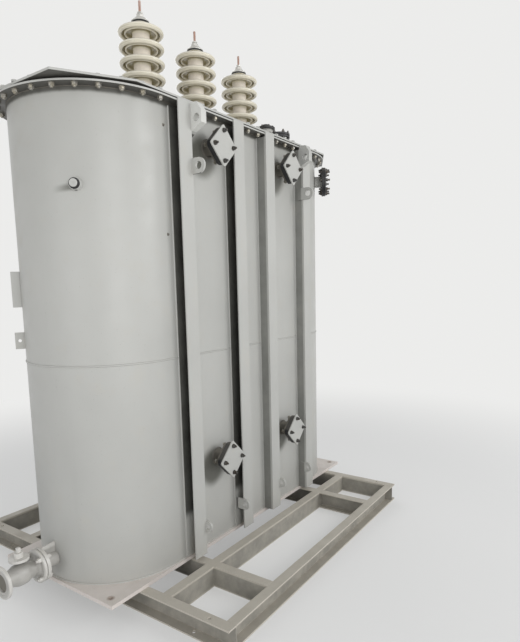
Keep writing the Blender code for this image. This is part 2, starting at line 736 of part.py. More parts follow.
def build_bushings(paint, glaze, steel):
    """Three bushings in a row: clamping base, porcelain, cap with nut and stud."""
    base_profile = [
        (0, BASE_HEIGHT),
        (BASE_NECK_RADIUS, BASE_HEIGHT),
        (BASE_NECK_RADIUS, BASE_FLANGE_HEIGHT),
        (BASE_RADIUS, BASE_FLANGE_HEIGHT),
        (BASE_RADIUS, 0),
        (0, 0),
    ]
    nut_base = CAP_HEIGHT
    stud_base = nut_base + NUT_HEIGHT
    cap_profile = [
        (0, stud_base + STUD_HEIGHT),
        (STUD_RADIUS, stud_base + STUD_HEIGHT),
        (STUD_RADIUS, stud_base),
        (NUT_RADIUS, stud_base),
        (NUT_RADIUS, nut_base),
        (CAP_TOP_RADIUS, nut_base),
        (CAP_RADIUS, HALF_SHARE * CAP_HEIGHT),
        (CAP_RADIUS, 0),
        (0, 0),
    ]
    porcelain_z = BUSHING_BASE_Z + BASE_HEIGHT + SEAT_GAP
    cap_z = porcelain_z + PORCELAIN_HEIGHT + SEAT_GAP
    for number in (1, 2, 3):
        center_x = (number - 2) * BUSHING_PITCH
        pieces = (
            ("base", base_profile, BUSHING_BASE_Z, paint),
            ("porcelain", porcelain_profile(), porcelain_z, glaze),
            ("cap", cap_profile, cap_z, steel),
        )
        for piece, profile, base_z, material in pieces:
            place = (center_x, BUSHING_Y, base_z)
            turned(f"bushing_{number}_{piece}", profile, place, ALONG_Z, material)


def build_turret(paint):
    """Capped turret on the cover beyond the bushings."""
    cap_base = TURRET_HEIGHT - TURRET_CAP_HEIGHT
    profile = [
        (0, TURRET_HEIGHT + TURRET_KNOB_HEIGHT),
        (TURRET_KNOB_RADIUS, TURRET_HEIGHT + TURRET_KNOB_HEIGHT),
        (TURRET_KNOB_RADIUS, TURRET_HEIGHT),
        (TURRET_CAP_RADIUS, TURRET_HEIGHT),
        (TURRET_CAP_RADIUS, cap_base),
        (TURRET_NECK_RADIUS, cap_base),
        (TURRET_NECK_RADIUS, TURRET_FLANGE_HEIGHT),
        (TURRET_FLANGE_RADIUS, TURRET_FLANGE_HEIGHT),
        (TURRET_FLANGE_RADIUS, 0),
        (0, 0),
    ]
    place = (BUSHING_PITCH + TURRET_SPACING, BUSHING_Y, BUSHING_BASE_Z)
    turned("cover_turret", profile, place, ALONG_Z, paint)


def build_cover_neck(black):
    """Short neck on the cover, closed by a blank flange."""
    height = COVER_NECK_HEIGHT + COVER_BLANK_THICKNESS
    profile = [
        (0, height),
        (COVER_BLANK_RADIUS, height),
        (COVER_BLANK_RADIUS, COVER_NECK_HEIGHT),
        (COVER_NECK_RADIUS, COVER_NECK_HEIGHT),
        (COVER_NECK_RADIUS, 0),
        (0, 0),
    ]
    center_y = COVER_NECK_INSET - TANK_RADIUS - COVER_SIDE_OVERHANG
    place = (BUSHING_PITCH + COVER_NECK_SPACING, center_y, BUSHING_BASE_Z)
    turned("cover_neck_blank", profile, place, ALONG_Z, black)


def build_drain(paint, steel):
    """Drain pipe with its gusset, the valve body with its flanges, and its stem."""
    center_z = FLOOR_BASE_Z + FLOOR_THICKNESS + DRAIN_HEIGHT
    place = (-(DRAIN_FLANGE_X + HALF_SHARE * DRAIN_FLANGE_THICKNESS), 0, center_z)
    pipe = round_bar(
        "drain_pipe", DRAIN_FLANGE_RADIUS, DRAIN_FLANGE_THICKNESS, place, ALONG_X, paint
    )
    neck_length = DRAIN_PIPE_REACH + WELD_BITE
    place = (-(DRAIN_FLANGE_X + WELD_BITE - HALF_SHARE * neck_length), 0, center_z)
    neck = round_bar("drain_pipe_neck", DRAIN_PIPE_RADIUS, neck_length, place, ALONG_X, None)
    combine(pipe, neck, "UNION")
    gusset_outline = [
        (-DRAIN_FLANGE_X - WELD_BITE, 0),
        (DRAIN_PIPE_REACH - DRAIN_FLANGE_X, 0),
        (DRAIN_PIPE_REACH - DRAIN_FLANGE_X, GUSSET_RISE),
        (-DRAIN_FLANGE_X - WELD_BITE, DRAIN_FLANGE_RADIUS - GUSSET_INSET),
    ]
    place = (0, 0, center_z)
    gusset = plate("drain_gusset", [gusset_outline], GUSSET_THICKNESS, place, ALONG_Y, None)
    combine(pipe, gusset, "UNION")
    body_profile = [
        (0, 0),
        (DRAIN_FLANGE_RADIUS, 0),
        (DRAIN_FLANGE_RADIUS, -DRAIN_FLANGE_THICKNESS),
        (DRAIN_BODY_RADIUS, -DRAIN_FLANGE_THICKNESS),
        (DRAIN_BODY_RADIUS, DRAIN_FLANGE_THICKNESS - DRAIN_BODY_LENGTH),
        (DRAIN_END_RADIUS, DRAIN_FLANGE_THICKNESS - DRAIN_BODY_LENGTH),
        (DRAIN_END_RADIUS, -DRAIN_BODY_LENGTH),
        (0, -DRAIN_BODY_LENGTH),
    ]
    place = (-DRAIN_BODY_X, 0, center_z)
    body = turned("drain_valve_body", body_profile, place, ALONG_X, paint)
    middle_x = -HALF_SHARE * (DRAIN_BODY_X + NEAR_REACH)
    place = (middle_x, 0, center_z + HALF_SHARE * BONNET_RISE)
    bonnet = round_bar("drain_bonnet", BONNET_RADIUS, BONNET_RISE, place, ALONG_Z, None)
    combine(body, bonnet, "UNION")
    stem_profile = [
        (0, BONNET_FLANGE_THICKNESS + STEM_COLLAR_RISE),
        (STEM_COLLAR_RADIUS, BONNET_FLANGE_THICKNESS + STEM_COLLAR_RISE),
        (STEM_COLLAR_RADIUS, BONNET_FLANGE_THICKNESS),
        (BONNET_FLANGE_RADIUS, BONNET_FLANGE_THICKNESS),
        (BONNET_FLANGE_RADIUS, 0),
        (0, 0),
    ]
    stem_z = center_z + BONNET_RISE + SEAT_GAP
    stem = turned("drain_valve_stem", stem_profile, (middle_x, 0, stem_z), ALONG_Z, steel)
    square_height = STEM_SQUARE_RISE + WELD_BITE
    square_base = stem_z + BONNET_FLANGE_THICKNESS + STEM_COLLAR_RISE - WELD_BITE
    size = (STEM_SQUARE, STEM_SQUARE, square_height)
    place = (middle_x, 0, square_base + HALF_SHARE * square_height)
    combine(stem, block("drain_stem_square", size, place, None), "UNION")


def make_envelope(name, radius, base_z, top_z):
    """A cutter with the tank's outline, for what seats against its side."""
    place = (0, 0, HALF_SHARE * (base_z + top_z))
    return plate(name, [obround(radius + SEAT_GAP)], top_z - base_z, place, ALONG_Z, None)


def build_end_fittings(envelope, paint, black):
    """Plugged boss, closed pipe and two small brackets on the round ends."""
    boss_end = TANK_RADIUS + END_BOSS_REACH
    profile = [
        (0, boss_end + END_PLUG_RISE),
        (END_PLUG_RADIUS, boss_end + END_PLUG_RISE),
        (END_PLUG_RADIUS, boss_end - END_BOSS_BORE_DEPTH),
        (END_BOSS_BORE_RADIUS, boss_end - END_BOSS_BORE_DEPTH),
        (END_BOSS_BORE_RADIUS, boss_end),
        (END_BOSS_RADIUS, boss_end),
        (END_BOSS_RADIUS, TANK_RADIUS - EMBED),
        (0, TANK_RADIUS - EMBED),
    ]
    place = (-HALF_STRAIGHT, 0, WALL_TOP_Z - END_BOSS_DROP)
    boss = turned("end_boss", profile, place, radial(END_BOSS_ANGLE), paint)
    combine(boss, envelope, "DIFFERENCE")

    flange_start = TANK_RADIUS + END_PIPE_REACH
    pipe_start = TANK_RADIUS - EMBED
    flange_end = flange_start + END_FLANGE_THICKNESS
    profile = [
        (0, flange_end),
        (END_FLANGE_RADIUS, flange_end),
        (END_FLANGE_RADIUS, flange_start),
        (END_PIPE_RADIUS, flange_start),
        (END_PIPE_RADIUS, pipe_start),
        (0, pipe_start),
    ]
    place = (HALF_STRAIGHT, 0, WALL_TOP_Z - END_PIPE_DROP)
    pipe = turned("end_pipe_blank", profile, place, radial(END_PIPE_ANGLE), black)
    combine(pipe, envelope, "DIFFERENCE")

    hole = circle(TANK_RADIUS + HALF_SHARE * BRACKET_LOWER_REACH, 0, BRACKET_HOLE_RADIUS)
    brackets = (
        ("upper", BRACKET_UPPER_DROP, BRACKET_UPPER_HEIGHT, BRACKET_UPPER_REACH, []),
        ("lower", BRACKET_LOWER_DROP, BRACKET_LOWER_HEIGHT, BRACKET_LOWER_REACH, [hole]),
    )
    for name, drop, height, reach, holes in brackets:
        inner = TANK_RADIUS - EMBED
        outer = TANK_RADIUS + reach
        outlines = [rectangle(outer - inner, height, HALF_SHARE * (inner + outer))] + holes
        turn = Matrix.Rotation(BRACKET_ANGLE, 4, "Z") @ ALONG_Y
        place = (-HALF_STRAIGHT, 0, WALL_TOP_Z - drop)
        bracket = plate("end_bracket_" + name, outlines, BRACKET_THICKNESS, place, turn, paint)
        combine(bracket, envelope, "DIFFERENCE")


def main():
    """Build every piece of the transformer."""
    paint = make_material("tank_paint", LIGHT_PAINT, 0.42, 0.0)
    frame_paint = make_material("frame_paint", FRAME_PAINT, 0.50, 0.0)
    glaze = make_material("porcelain_glaze", IVORY, 0.12, 0.0)
    rubber = make_material("black_rubber", BLACK, 0.70, 0.0)
    black = make_material("black_paint", BLACK, 0.45, 0.0)
    steel = make_material("fitting_steel", STEEL, 0.35, 1.0)
    build_frame(frame_paint)
    build_floor(paint)
    build_wall("tank_wall_lower", WALL_BASE_Z, SEAM_Z, paint)
    build_wall("tank_wall_upper", SEAM_Z + SEAT_GAP, WALL_TOP_Z, paint)
    build_top(paint, rubber)
    wall_envelope = make_envelope("wall_envelope", TANK_RADIUS, 0, WALL_TOP_Z + OVERRUN)
    top_z = COVER_TOP_Z + OVERRUN
    flange_envelope = make_envelope("flange_envelope", FLANGE_EDGE_Y, WALL_TOP_Z, top_z)
    build_stiffeners((wall_envelope, flange_envelope), paint)
    build_valves(paint)
    build_bushings(paint, glaze, steel)
    build_turret(paint)
    build_cover_neck(black)
    build_drain(paint, steel)
    build_end_fittings(wall_envelope, paint, black)


main()
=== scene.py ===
"""Look of a power transformer's tank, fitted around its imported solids."""

import math
from typing import NamedTuple

import bmesh
import bpy
from bpy.props import FloatProperty, FloatVectorProperty, IntProperty, PointerProperty
from mathutils import Matrix, Vector


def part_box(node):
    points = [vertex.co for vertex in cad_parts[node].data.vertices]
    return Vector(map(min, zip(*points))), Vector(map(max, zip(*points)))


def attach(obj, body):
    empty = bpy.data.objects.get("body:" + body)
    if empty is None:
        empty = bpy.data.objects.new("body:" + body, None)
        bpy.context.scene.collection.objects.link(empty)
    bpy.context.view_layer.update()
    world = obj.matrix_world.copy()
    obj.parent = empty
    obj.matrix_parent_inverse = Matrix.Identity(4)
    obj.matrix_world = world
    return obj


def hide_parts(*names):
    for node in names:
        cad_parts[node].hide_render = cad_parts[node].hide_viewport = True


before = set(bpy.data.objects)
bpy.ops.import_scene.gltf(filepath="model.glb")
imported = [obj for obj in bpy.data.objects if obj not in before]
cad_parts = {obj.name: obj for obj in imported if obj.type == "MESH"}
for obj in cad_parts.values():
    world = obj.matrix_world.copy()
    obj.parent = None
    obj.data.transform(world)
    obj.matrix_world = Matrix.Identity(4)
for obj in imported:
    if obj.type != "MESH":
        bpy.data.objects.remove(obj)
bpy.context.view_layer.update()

bl_info = {
    "name": "Power Transformer Dressing",
    "version": (1, 0, 0),
    "blender": (4, 5, 0),
    "location": "View3D > Sidebar > Transformer",
    "description": "Paint, welds, bolts, porcelain and fittings of a power transformer tank",
    "category": "Object",
}

ROOT = "root"
SIDES = (("front", -1), ("rear", 1))
NUMBERS = (1, 2, 3, 4)
QUARTER = 0.5 * math.pi
EIGHTH = 0.5 * QUARTER
TURN = 2.0 * math.pi
MERGE = 0.00002
BACKDROP = (0.84, 0.84, 0.83, 1.0)
FINISHES = {}
GRAPHS = {}


def centre(node):
    """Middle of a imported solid's box."""
    low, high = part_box(node)
    return Vector([0.5 * (a + b) for a, b in zip(low, high)])


def standing(node):
    """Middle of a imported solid's underside, as a place, and the solid's height."""
    low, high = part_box(node)
    middle = centre(node)
    return at(middle.x, middle.y, low.z), high.z - low.z


def at(x, y, z, turn=Matrix.Identity(4)):
    """A place with a direction."""
    return Matrix.Translation((x, y, z)) @ turn


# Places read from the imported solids.
WALL_LOW, WALL_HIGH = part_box("tank_wall_upper")
FLOOR_LOW, FLOOR_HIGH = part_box("tank_floor")
FLANGE_LOW, FLANGE_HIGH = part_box("tank_flange")
COVER_LOW, COVER_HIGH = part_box("cover_plate")
TANK_RADIUS = WALL_HIGH.y
TANK_X = 0.5 * (WALL_LOW.x + WALL_HIGH.x)
HALF_STRAIGHT = 0.5 * (WALL_HIGH.x - WALL_LOW.x) - TANK_RADIUS
WALL_THICKNESS = 0.008
STIFFENER_WIDTH = 0.096
BOSS_ANGLE = math.radians(-143.8)
BOSS_RISE = 0.005
BLANK_ANGLE = math.radians(-60.0)

# The plates' edges look thinner than the solids, with a wider dark joint between them.
FLANGE_UNDER = FLANGE_HIGH.z - 0.0020
FLANGE_TOP = FLANGE_HIGH.z + 0.0075
COVER_UNDER = COVER_LOW.z + 0.0070
GASKET_SETBACK = 0.008
GASKET_LAP = 0.01

# Turns of the Z axis. A dial's circles count from +Y towards +Z.
EAST = Matrix.Rotation(QUARTER, 4, "Y")
WEST = Matrix.Rotation(-QUARTER, 4, "Y")
SOUTH = Matrix.Rotation(QUARTER, 4, "X")
NORTH = Matrix.Rotation(-QUARTER, 4, "X")
SIDEWAYS = {-1: SOUTH, 1: NORTH}
ROLL = Matrix.Rotation(QUARTER, 4, "Z")
DIAL = EAST @ ROLL


def colour_property(label, description, default):
    """A colour setting without alpha."""
    return FloatVectorProperty(
        name=label, description=description, default=default,
        subtype="COLOR", size=3, min=0.0, max=1.0,
    )


def number_property(label, description, default, **more):
    """A number setting."""
    return FloatProperty(name=label, description=description, default=default, **more)


def length_property(label, description, default):
    """A length setting in metres."""
    return number_property(label, description, default, subtype="DISTANCE", unit="LENGTH", min=0.0)


def angle_property(label, description, degrees):
    """An angle setting, given in degrees."""
    return number_property(label, description, math.radians(degrees), subtype="ANGLE")


class PaintSettings(bpy.types.PropertyGroup):
    """Colours of the finishes."""

    tank: colour_property("Tank paint", "Light grey enamel of the tank", (0.50, 0.50, 0.475))
    base: colour_property("Frame paint", "Cream of the base frame", (0.60, 0.56, 0.485))
    plate: colour_property("Floor plate", "Worn paint of the floor plate", (0.80, 0.735, 0.690))
    drain: colour_property("Drain paint", "Pale enamel of the drain valve", (0.70, 0.685, 0.65))
    porcelain: colour_property("Porcelain", "Ivory glaze of the bushings", (0.86, 0.81, 0.675))
    rust: colour_property("Rust", "Rust and dirt round bare holes", (0.24, 0.165, 0.11))
    black: colour_property("Black paint", "Black of valve bodies and blank flanges", (0.014, 0.014, 0.015))
    rubber: colour_property("Rubber", "Black rubber of gaskets", (0.018, 0.018, 0.018))
    zinc: colour_property("Zinc", "Zinc plating of bolts and nuts", (0.42, 0.41, 0.385))
    copper: colour_property("Copper", "Copper of the terminal studs", (0.62, 0.47, 0.42))
    cap: colour_property("Cap", "Pale metal of the bushing caps", (0.62, 0.61, 0.58))
    # Darkened, the dust colour also gives painted shade under down-facing faces and in the dark dusty paint.
    dust: colour_property("Dust", "Workshop dust that lies on level faces", (0.42, 0.39, 0.33))


class FastenerSettings(bpy.types.PropertyGroup):
    """Sizes of the flange bolts and their spacing."""

    pitch: length_property("Flange pitch", "Distance between bolts along the tank flange", 0.107)
    circle: length_property("Flange bolt line", "Radius of the bolt line at the round ends", 0.490)
    width: length_property("Across flats", "Width of the heads and nuts", 0.024)
    head: length_property("Head height", "Height of a bolt's head", 0.008)
    nut: length_property("Nut height", "Height of a nut", 0.0125)
    tail: length_property("Thread end", "How far a shank stands out of its nut", 0.007)
    washer: length_property("Washer radius", "Radius of the washer under a head", 0.0125)
    stud: length_property("Stud radius", "Radius of a bolt's shank", 0.008)
    seed: IntProperty(name="Seed", description="Seed of the bolts' random turns", default=4)


class WeldSettings(bpy.types.PropertyGroup):
    """Sizes of the weld beads."""

    bead: length_property("Bead radius", "Half the width of a fillet weld", 0.0045)
    ripple: length_property("Ripple length", "Distance between the ripples of a bead", 0.006)
    depth: number_property(
        "Ripple depth", "Share of the radius", 0.16, subtype="FACTOR", min=0.0, max=1.0)


class PorcelainSettings(bpy.types.PropertyGroup):
    """Sizes of the porcelain sheds, from the head down."""

    sheds: IntProperty(name="Sheds", description="Number of sheds", default=5, min=1)
    pitch: length_property("Shed pitch", "Distance from shed to shed", 0.085)
    first: length_property("First rim", "Depth of the first rim under the head", 0.048)
    radius: length_property("Shed radius", "Radius of a shed", 0.130)
    rim: length_property("Rim radius", "Radius of the shed's rounded rim", 0.013)
    core: length_property("Core radius", "Radius of the core between sheds", 0.050)


class CameraSettings(bpy.types.PropertyGroup):
    """The camera that stands where the photographer stood."""

    place: FloatVectorProperty(
        name="Place", description="Where the camera stands", subtype="XYZ", unit="LENGTH",
        size=3, default=(-2.6462, -2.449, 1.690),
    )
    yaw: angle_property("Yaw", "From +X towards +Y", 34.98)
    pitch: angle_property("Pitch", "Downward tilt", 7.49)
    roll: angle_property("Roll", "Clockwise roll", 1.32)
    focal: number_property(
        "Focal length", "For a 36 mm wide sensor", 36.395, subtype="DISTANCE_CAMERA", unit="CAMERA")
    shift_x: number_property("Shift X", "Share of the width", 0.0025)
    shift_y: number_property("Shift Y", "Share of the width", 0.0619)


class Socket:
    """A node's output socket that can be used in sums."""

    def __init__(self, graph, socket):
        self.graph = graph
        self.socket = socket

    def math(self, operation, *values):
        """A math node's result."""
        return self.graph.node("ShaderNodeMath", {"operation": operation}, values)

    def __add__(self, other):
        return self.math("ADD", self, other)

    def __radd__(self, other):
        return self.math("ADD", other, self)

    def __sub__(self, other):
        return self.math("SUBTRACT", self, other)

    def __rsub__(self, other):
        return self.math("SUBTRACT", other, self)

    def __mul__(self, other):
        return self.math("MULTIPLY", self, other)

    def __rmul__(self, other):
        return self.math("MULTIPLY", other, self)

    def __truediv__(self, other):
        return self.math("DIVIDE", self, other)

    def __rtruediv__(self, other):
        return self.math("DIVIDE", other, self)

    def __pow__(self, other):
        return self.math("POWER", self, other)

    def __rpow__(self, other):
        return self.math("POWER", other, self)

    def __abs__(self):
        return self.math("ABSOLUTE", self)

    def span(self, low, high, start=0.0, end=1.0):
        """Maps low..high to start..end, clamped and smoothed."""
        settings = {"interpolation_type": "SMOOTHSTEP"}
        return self.graph.node("ShaderNodeMapRange", settings, (self, low, high, start, end))

    def other(self, name):
        """Another output of the same node."""
        return Socket(self.graph, self.socket.node.outputs[name])


class Graph:
    """A node tree that is filled by calls."""

    def __init__(self, tree):
        self.tree = tree

    def node(self, kind, settings=None, inputs=(), output=0):
        """Adds a node: first its settings, then the values or links of its sockets."""
        made = self.tree.nodes.new(kind)
        for name, value in (settings or {}).items():
            setattr(made, name, value)
        pairs = inputs.items() if isinstance(inputs, dict) else enumerate(inputs)
        for key, value in pairs:
            if isinstance(value, Socket):
                self.tree.links.new(value.socket, made.inputs[key])
            else:
                made.inputs[key].default_value = value
        return Socket(self, made.outputs[output])

    def close(self, kind, result):
        """Links a result to the tree's output node."""
        output = self.tree.nodes.new(kind)
        self.tree.links.new(result.socket, output.inputs[0])

    def mix(self, factor, first, second):
        """Mixes two colours."""
        return self.node("ShaderNodeMix", {"data_type": "RGBA"}, {0: factor, 6: first, 7: second}, 2)

    def axes(self, vector):
        """X, Y and Z of a vector."""
        x = self.node("ShaderNodeSeparateXYZ", None, (vector,))
        return x, x.other("Y"), x.other("Z")


class Finish(Graph):
    """A material in the making, on the object's own coordinates.

    Level is 1 on faces that look up and -1 on faces that look down.
    """

    def __init__(self, name):
        self.material = bpy.data.materials.new(name)
        self.material.use_nodes = True
        super().__init__(self.material.node_tree)
        self.tree.nodes.clear()
        self.place = self.node("ShaderNodeTexCoord", output="Object")
        self.x, self.y, self.z = self.axes(self.place)
        self.facing_x, _, self.level = self.axes(self.node("ShaderNodeNewGeometry", output="Normal"))
        self.shade = None
        self.bumps = None

    def noise(self, scale, detail=3.0, roughness=0.5, stretch=None):
        """Noise between 0 and 1, on coordinates that may be stretched along the axes."""
        place = self.place
        if stretch:
            place = self.node("ShaderNodeVectorMath", {"operation": "MULTIPLY"}, (place, stretch))
        inputs = {"Vector": place, "Scale": scale, "Detail": detail, "Roughness": roughness}
        return self.node("ShaderNodeTexNoise", None, inputs)

    def blend(self, factor, first, second):
        """Starts the shade as a blend of two colours."""
        self.shade = self.mix(factor, first, second)

    def coat(self, factor, colour):
        """Lays a colour over the shade."""
        self.shade = self.mix(factor, self.shade, colour)

    def bump(self, height, distance, strength):
        """Adds a bump; later ones lie over earlier ones."""
        inputs = {"Height": height, "Distance": distance, "Strength": strength}
        if self.bumps:
            inputs["Normal"] = self.bumps
        self.bumps = self.node("ShaderNodeBump", None, inputs)

    def surface(self, roughness, metallic=0.0, **more):
        """Ends the tree in a Principled BSDF and returns the material."""
        inputs = {"Base Color": self.shade, "Roughness": roughness, "Metallic": metallic, **more}
        if self.bumps:
            inputs["Normal"] = self.bumps
        self.close("ShaderNodeOutputMaterial", self.node("ShaderNodeBsdfPrincipled", None, inputs))
        return self.material


def rgba(colour, share=1.0):
    """A colour setting as four values, lightened or darkened."""
    return tuple(min(1.0, share * value) for value in colour) + (1.0,)


def distance(a, b):
    """Length of a pair of sockets."""
    return (a * a + b * b) ** 0.5


def enamel(name, colour, dust, roughness, grime, wear_and_shade=None):
    """Sprayed enamel: cloudy shade, runs, dust on level faces, grime near the floor.

    Faces that look down are darkened as painted shade. A finish may add its own marks of wear and of painted
    light and shade.
    """
    finish = Finish(name)
    clouds = finish.noise(1.7, 4.0, 0.55)
    smudges = finish.noise(7.0, 5.0, 0.6)
    runs = finish.noise(9.0, 3.0, 0.6, (1.0, 1.0, 0.06))
    specks = finish.noise(120.0, 2.0, 0.5).span(0.68, 0.74)
    finish.blend(clouds.span(0.3, 0.7), rgba(colour, 0.955), rgba(colour, 1.035))
    finish.coat(smudges.span(0.52, 0.72) * 0.16, rgba(dust, 1.25))
    finish.coat(runs.span(0.55, 0.75) * 0.10, rgba(colour, 0.80))
    low = (finish.z + smudges * 0.25).span(0.62, 0.10)
    settled = finish.level.span(0.55, 0.95) * smudges.span(0.35, 0.65, 0.20, 0.55)
    film = (low * 0.22 + settled) * grime
    finish.coat(film, rgba(dust))
    finish.coat(specks * 0.25 * grime, rgba(dust, 0.55))
    # Painted shade: faces that look down are darkened.
    finish.coat(finish.level.span(-0.92, -0.99) * 0.90, rgba(dust, 0.12))
    if wear_and_shade:
        wear_and_shade(finish, smudges)
    finish.bump(finish.noise(3.2, 2.0, 0.5), 0.004, 0.35)
    finish.bump(finish.noise(190.0, 2.0, 0.5), 0.0006, 0.16)
    return finish.surface(smudges.span(0.35, 0.7, roughness - 0.05, roughness + 0.10) + film * 0.3)


def shaded_beam_hollows(finish, smudges):
    """Beams: painted shade on the webs recessed between the flanges, and dirt on the low ledges."""
    steep = 1.0 - abs(finish.level).span(0.3, 0.7)
    hollow = steep * finish.z.span(0.112, 0.106) * finish.z.span(0.006, 0.012)
    dirt = (smudges + finish.noise(24.0, 4.0, 0.6) * 0.5).span(0.45, 0.95, 0.35, 0.72)
    # Painted shade on the steep faces recessed between the flanges, made patchy by the dirt noise.
    finish.coat(hollow * dirt, (0.185, 0.180, 0.160, 1.0))
    ledge = finish.level.span(0.5, 0.8) * finish.z.span(0.05, 0.02)
    finish.coat(ledge * dirt * 0.4, (0.200, 0.188, 0.160, 1.0))


def sooty_hollows(finish, smudges):
    """Stiffeners: painted shade inside the open channels and on the webs that face the tank's middle, and a
    painted highlight on the near end's lugs.
    """
    depth, along = abs(finish.y), finish.x - TANK_X
    inside = depth.span(TANK_RADIUS + 0.003, TANK_RADIUS + 0.008)
    inside = inside * depth.span(FLANGE_HIGH.y - 0.002, FLANGE_HIGH.y - 0.010)
    outward = finish.facing_x * along.math("SIGN", along)
    # Painted highlight: the near end's lugs are lightened.
    lug = depth.span(0.5245, 0.5255) * along.span(-0.50, -0.56) * finish.z.span(2.42, 2.46)
    finish.coat(lug * 0.8, (0.70, 0.70, 0.665, 1.0))
    # Painted shade inside the open channels.
    hollow = inside * outward.span(-0.6, -0.2) * finish.z.span(0.36, 0.42)
    finish.coat(hollow * smudges.span(0.2, 0.8, 0.97, 0.86), (0.050, 0.049, 0.042, 1.0))
    # Painted shade on the webs that face the tank's middle.
    flank = inside * outward.span(-0.7, -0.9) * smudges.span(0.2, 0.8, 0.70, 0.50)
    finish.coat(flank, (0.105, 0.105, 0.092, 1.0))


def stained_and_shaded_wall(finish, smudges):
    """Tank wall: darker towards the top as painted shade, a painted shadow under the flange, stains with
    painted shadow beside the valves, and a dark streak from the end boss.
    """
    along, stain_and_shadow_shift = finish.x - TANK_X, 0.05
    upper, lower = (centre(f"radiator_valve_front_{row}_far") for row in ("upper", "lower"))
    # Painted shade: the wall darkens towards the top, and a painted shadow of the flange lies along its top,
    # with a ragged lower edge.
    top = (finish.z + (smudges - 0.5) * 0.016).span(FLANGE_UNDER - 0.032, FLANGE_UNDER - 0.014)
    finish.coat(finish.z.span(1.7, 2.6) * 0.22, (0.300, 0.300, 0.275, 1.0))
    finish.coat(top * 0.88, (0.075, 0.074, 0.062, 1.0))
    # Beside each radiator valve, shifted down and towards the near end: an oil stain together with the
    # painted shadow of the valve.
    aside = abs(abs(along + stain_and_shadow_shift) - (upper.x - TANK_X))
    rise = abs(abs(finish.z + (stain_and_shadow_shift - 0.5 * (upper.z + lower.z))) - 0.5 * (upper.z - lower.z))
    reach = distance(aside, rise) + (smudges - 0.5) * 0.03
    finish.coat(reach.span(0.145, 0.075) * 0.80, (0.075, 0.074, 0.055, 1.0))
    # A dark streak that trails round the end and downward from the boss.
    turned = along.math("ARCTAN2", finish.y, along + HALF_STRAIGHT)
    trail = (BOSS_ANGLE - turned) * TANK_RADIUS
    drop = finish.z - centre("end_boss").z + 0.004 + trail * 0.12
    streak = abs(drop).span(0.024, 0.004) * trail.span(-0.02, 0.03) * trail.span(0.13, 0.03)
    streak = streak * along.span(-HALF_STRAIGHT + 0.02, -HALF_STRAIGHT)
    finish.coat(streak * 0.75, (0.120, 0.118, 0.098, 1.0))


def shaded_valve_body(finish, smudges):
    """Drain valve: pale rims, painted shade on the body between them."""
    rise = finish.z - centre("drain_valve_body").z
    body = distance(finish.y, rise).span(0.079, 0.070) * rise.span(0.075, 0.060)
    # Painted shade on the body, recessed between the rims.
    finish.coat(body * smudges.span(0.3, 0.7, 0.35, 0.60), (0.270, 0.262, 0.240, 1.0))


def rusty_holes(finish, smudges):
    """Floor plate: a rusty ring round the hole near each corner."""
    beyond = abs(finish.x - TANK_X) - (0.5 * (FLOOR_HIGH.x - FLOOR_LOW.x) - 0.044)
    aside = abs(finish.y) - (FLOOR_HIGH.y - 0.060)
    rusty = (distance(beyond, aside) + smudges * 0.012).span(0.034, 0.018)
    finish.coat(rusty * 0.6, rgba(bpy.context.scene.transformer_paints.rust))


def glaze(name, colour, dust, sizes):
    """Fired glaze: cream on the rims, painted shade in olive in the grooves under each shed, a painted
    lighter core between the sheds, dust on top.
    """
    finish = Finish(name)
    clouds = finish.noise(14.0, 3.0, 0.5)
    iron = finish.noise(260.0, 1.0, 0.5).span(0.76, 0.80)
    finish.blend(clouds.span(0.3, 0.7), rgba(colour, 0.96), rgba(colour, 1.03))
    sheds = (finish.z - (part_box("bushing_1_porcelain")[1].z - sizes.first)) / sizes.pitch
    from_rim = (sheds - sheds.math("ROUND", sheds)) * sizes.pitch
    # Painted shade on the faces under each shed, in olive.
    groove = finish.level.span(0.15, -0.45) * from_rim.span(-0.0095, 0.002)
    finish.coat(groove * clouds.span(0.2, 0.8, 0.95, 0.80), (0.270, 0.225, 0.095, 1.0))
    # Painted light: a light pink on the core between the sheds, over the painted shade.
    upright = 1.0 - abs(finish.level).span(0.1, 0.4)
    core = upright * (1.0 - from_rim.span(-0.016, -0.010) * from_rim.span(0.022, 0.012))
    finish.coat(core * 0.75, (0.76, 0.695, 0.625, 1.0))
    film = finish.level.span(0.2, 0.9) * clouds.span(0.3, 0.7, 0.25, 0.55)
    finish.coat(film, rgba(dust, 0.9))
    finish.coat(iron * 0.35, rgba(dust, 0.35))
    finish.bump(finish.noise(40.0, 2.0, 0.4), 0.001, 0.12)
    return finish.surface(film * 0.8 + 0.22, **{"Coat Weight": 0.25, "Coat Roughness": 0.10})


def black_coat(name, colour, dust):
    """Black paint on castings: grainy, dusty on top."""
    finish = Finish(name)
    grain = finish.noise(85.0, 4.0, 0.6)
    patches = finish.noise(11.0, 4.0, 0.6)
    finish.blend(patches.span(0.3, 0.7), rgba(colour), rgba(colour, 2.1))
    film = finish.level.span(0.4, 0.95) * 0.30 + patches.span(0.5, 0.75) * 0.10
    finish.coat(film, rgba(dust, 0.7))
    finish.bump(grain, 0.0012, 0.30)
    return finish.surface(patches.span(0.3, 0.7, 0.34, 0.55))


def rubber(name, colour):
    """Rubber sheet with a chalky bloom."""
    finish = Finish(name)
    bloom = finish.noise(22.0, 4.0, 0.6)
    finish.blend(bloom.span(0.35, 0.75), rgba(colour), rgba(colour, 2.4))
    finish.bump(finish.noise(140.0, 2.0, 0.5), 0.0005, 0.35)
    return finish.surface(bloom.span(0.3, 0.7, 0.62, 0.82))


def plated(name, colour, tint, roughness):
    """Plated or bare metal with drifting tint and fine scratches."""
    finish = Finish(name)
    scratches = finish.noise(90.0, 3.0, 0.7, (1.0, 1.0, 0.15))
    finish.blend(finish.noise(38.0, 3.0, 0.6).span(0.35, 0.7), rgba(colour), rgba(tint))
    finish.bump(scratches, 0.0003, 0.25)
    return finish.surface(scratches.span(0.3, 0.75, roughness - 0.08, roughness + 0.14), 0.92)


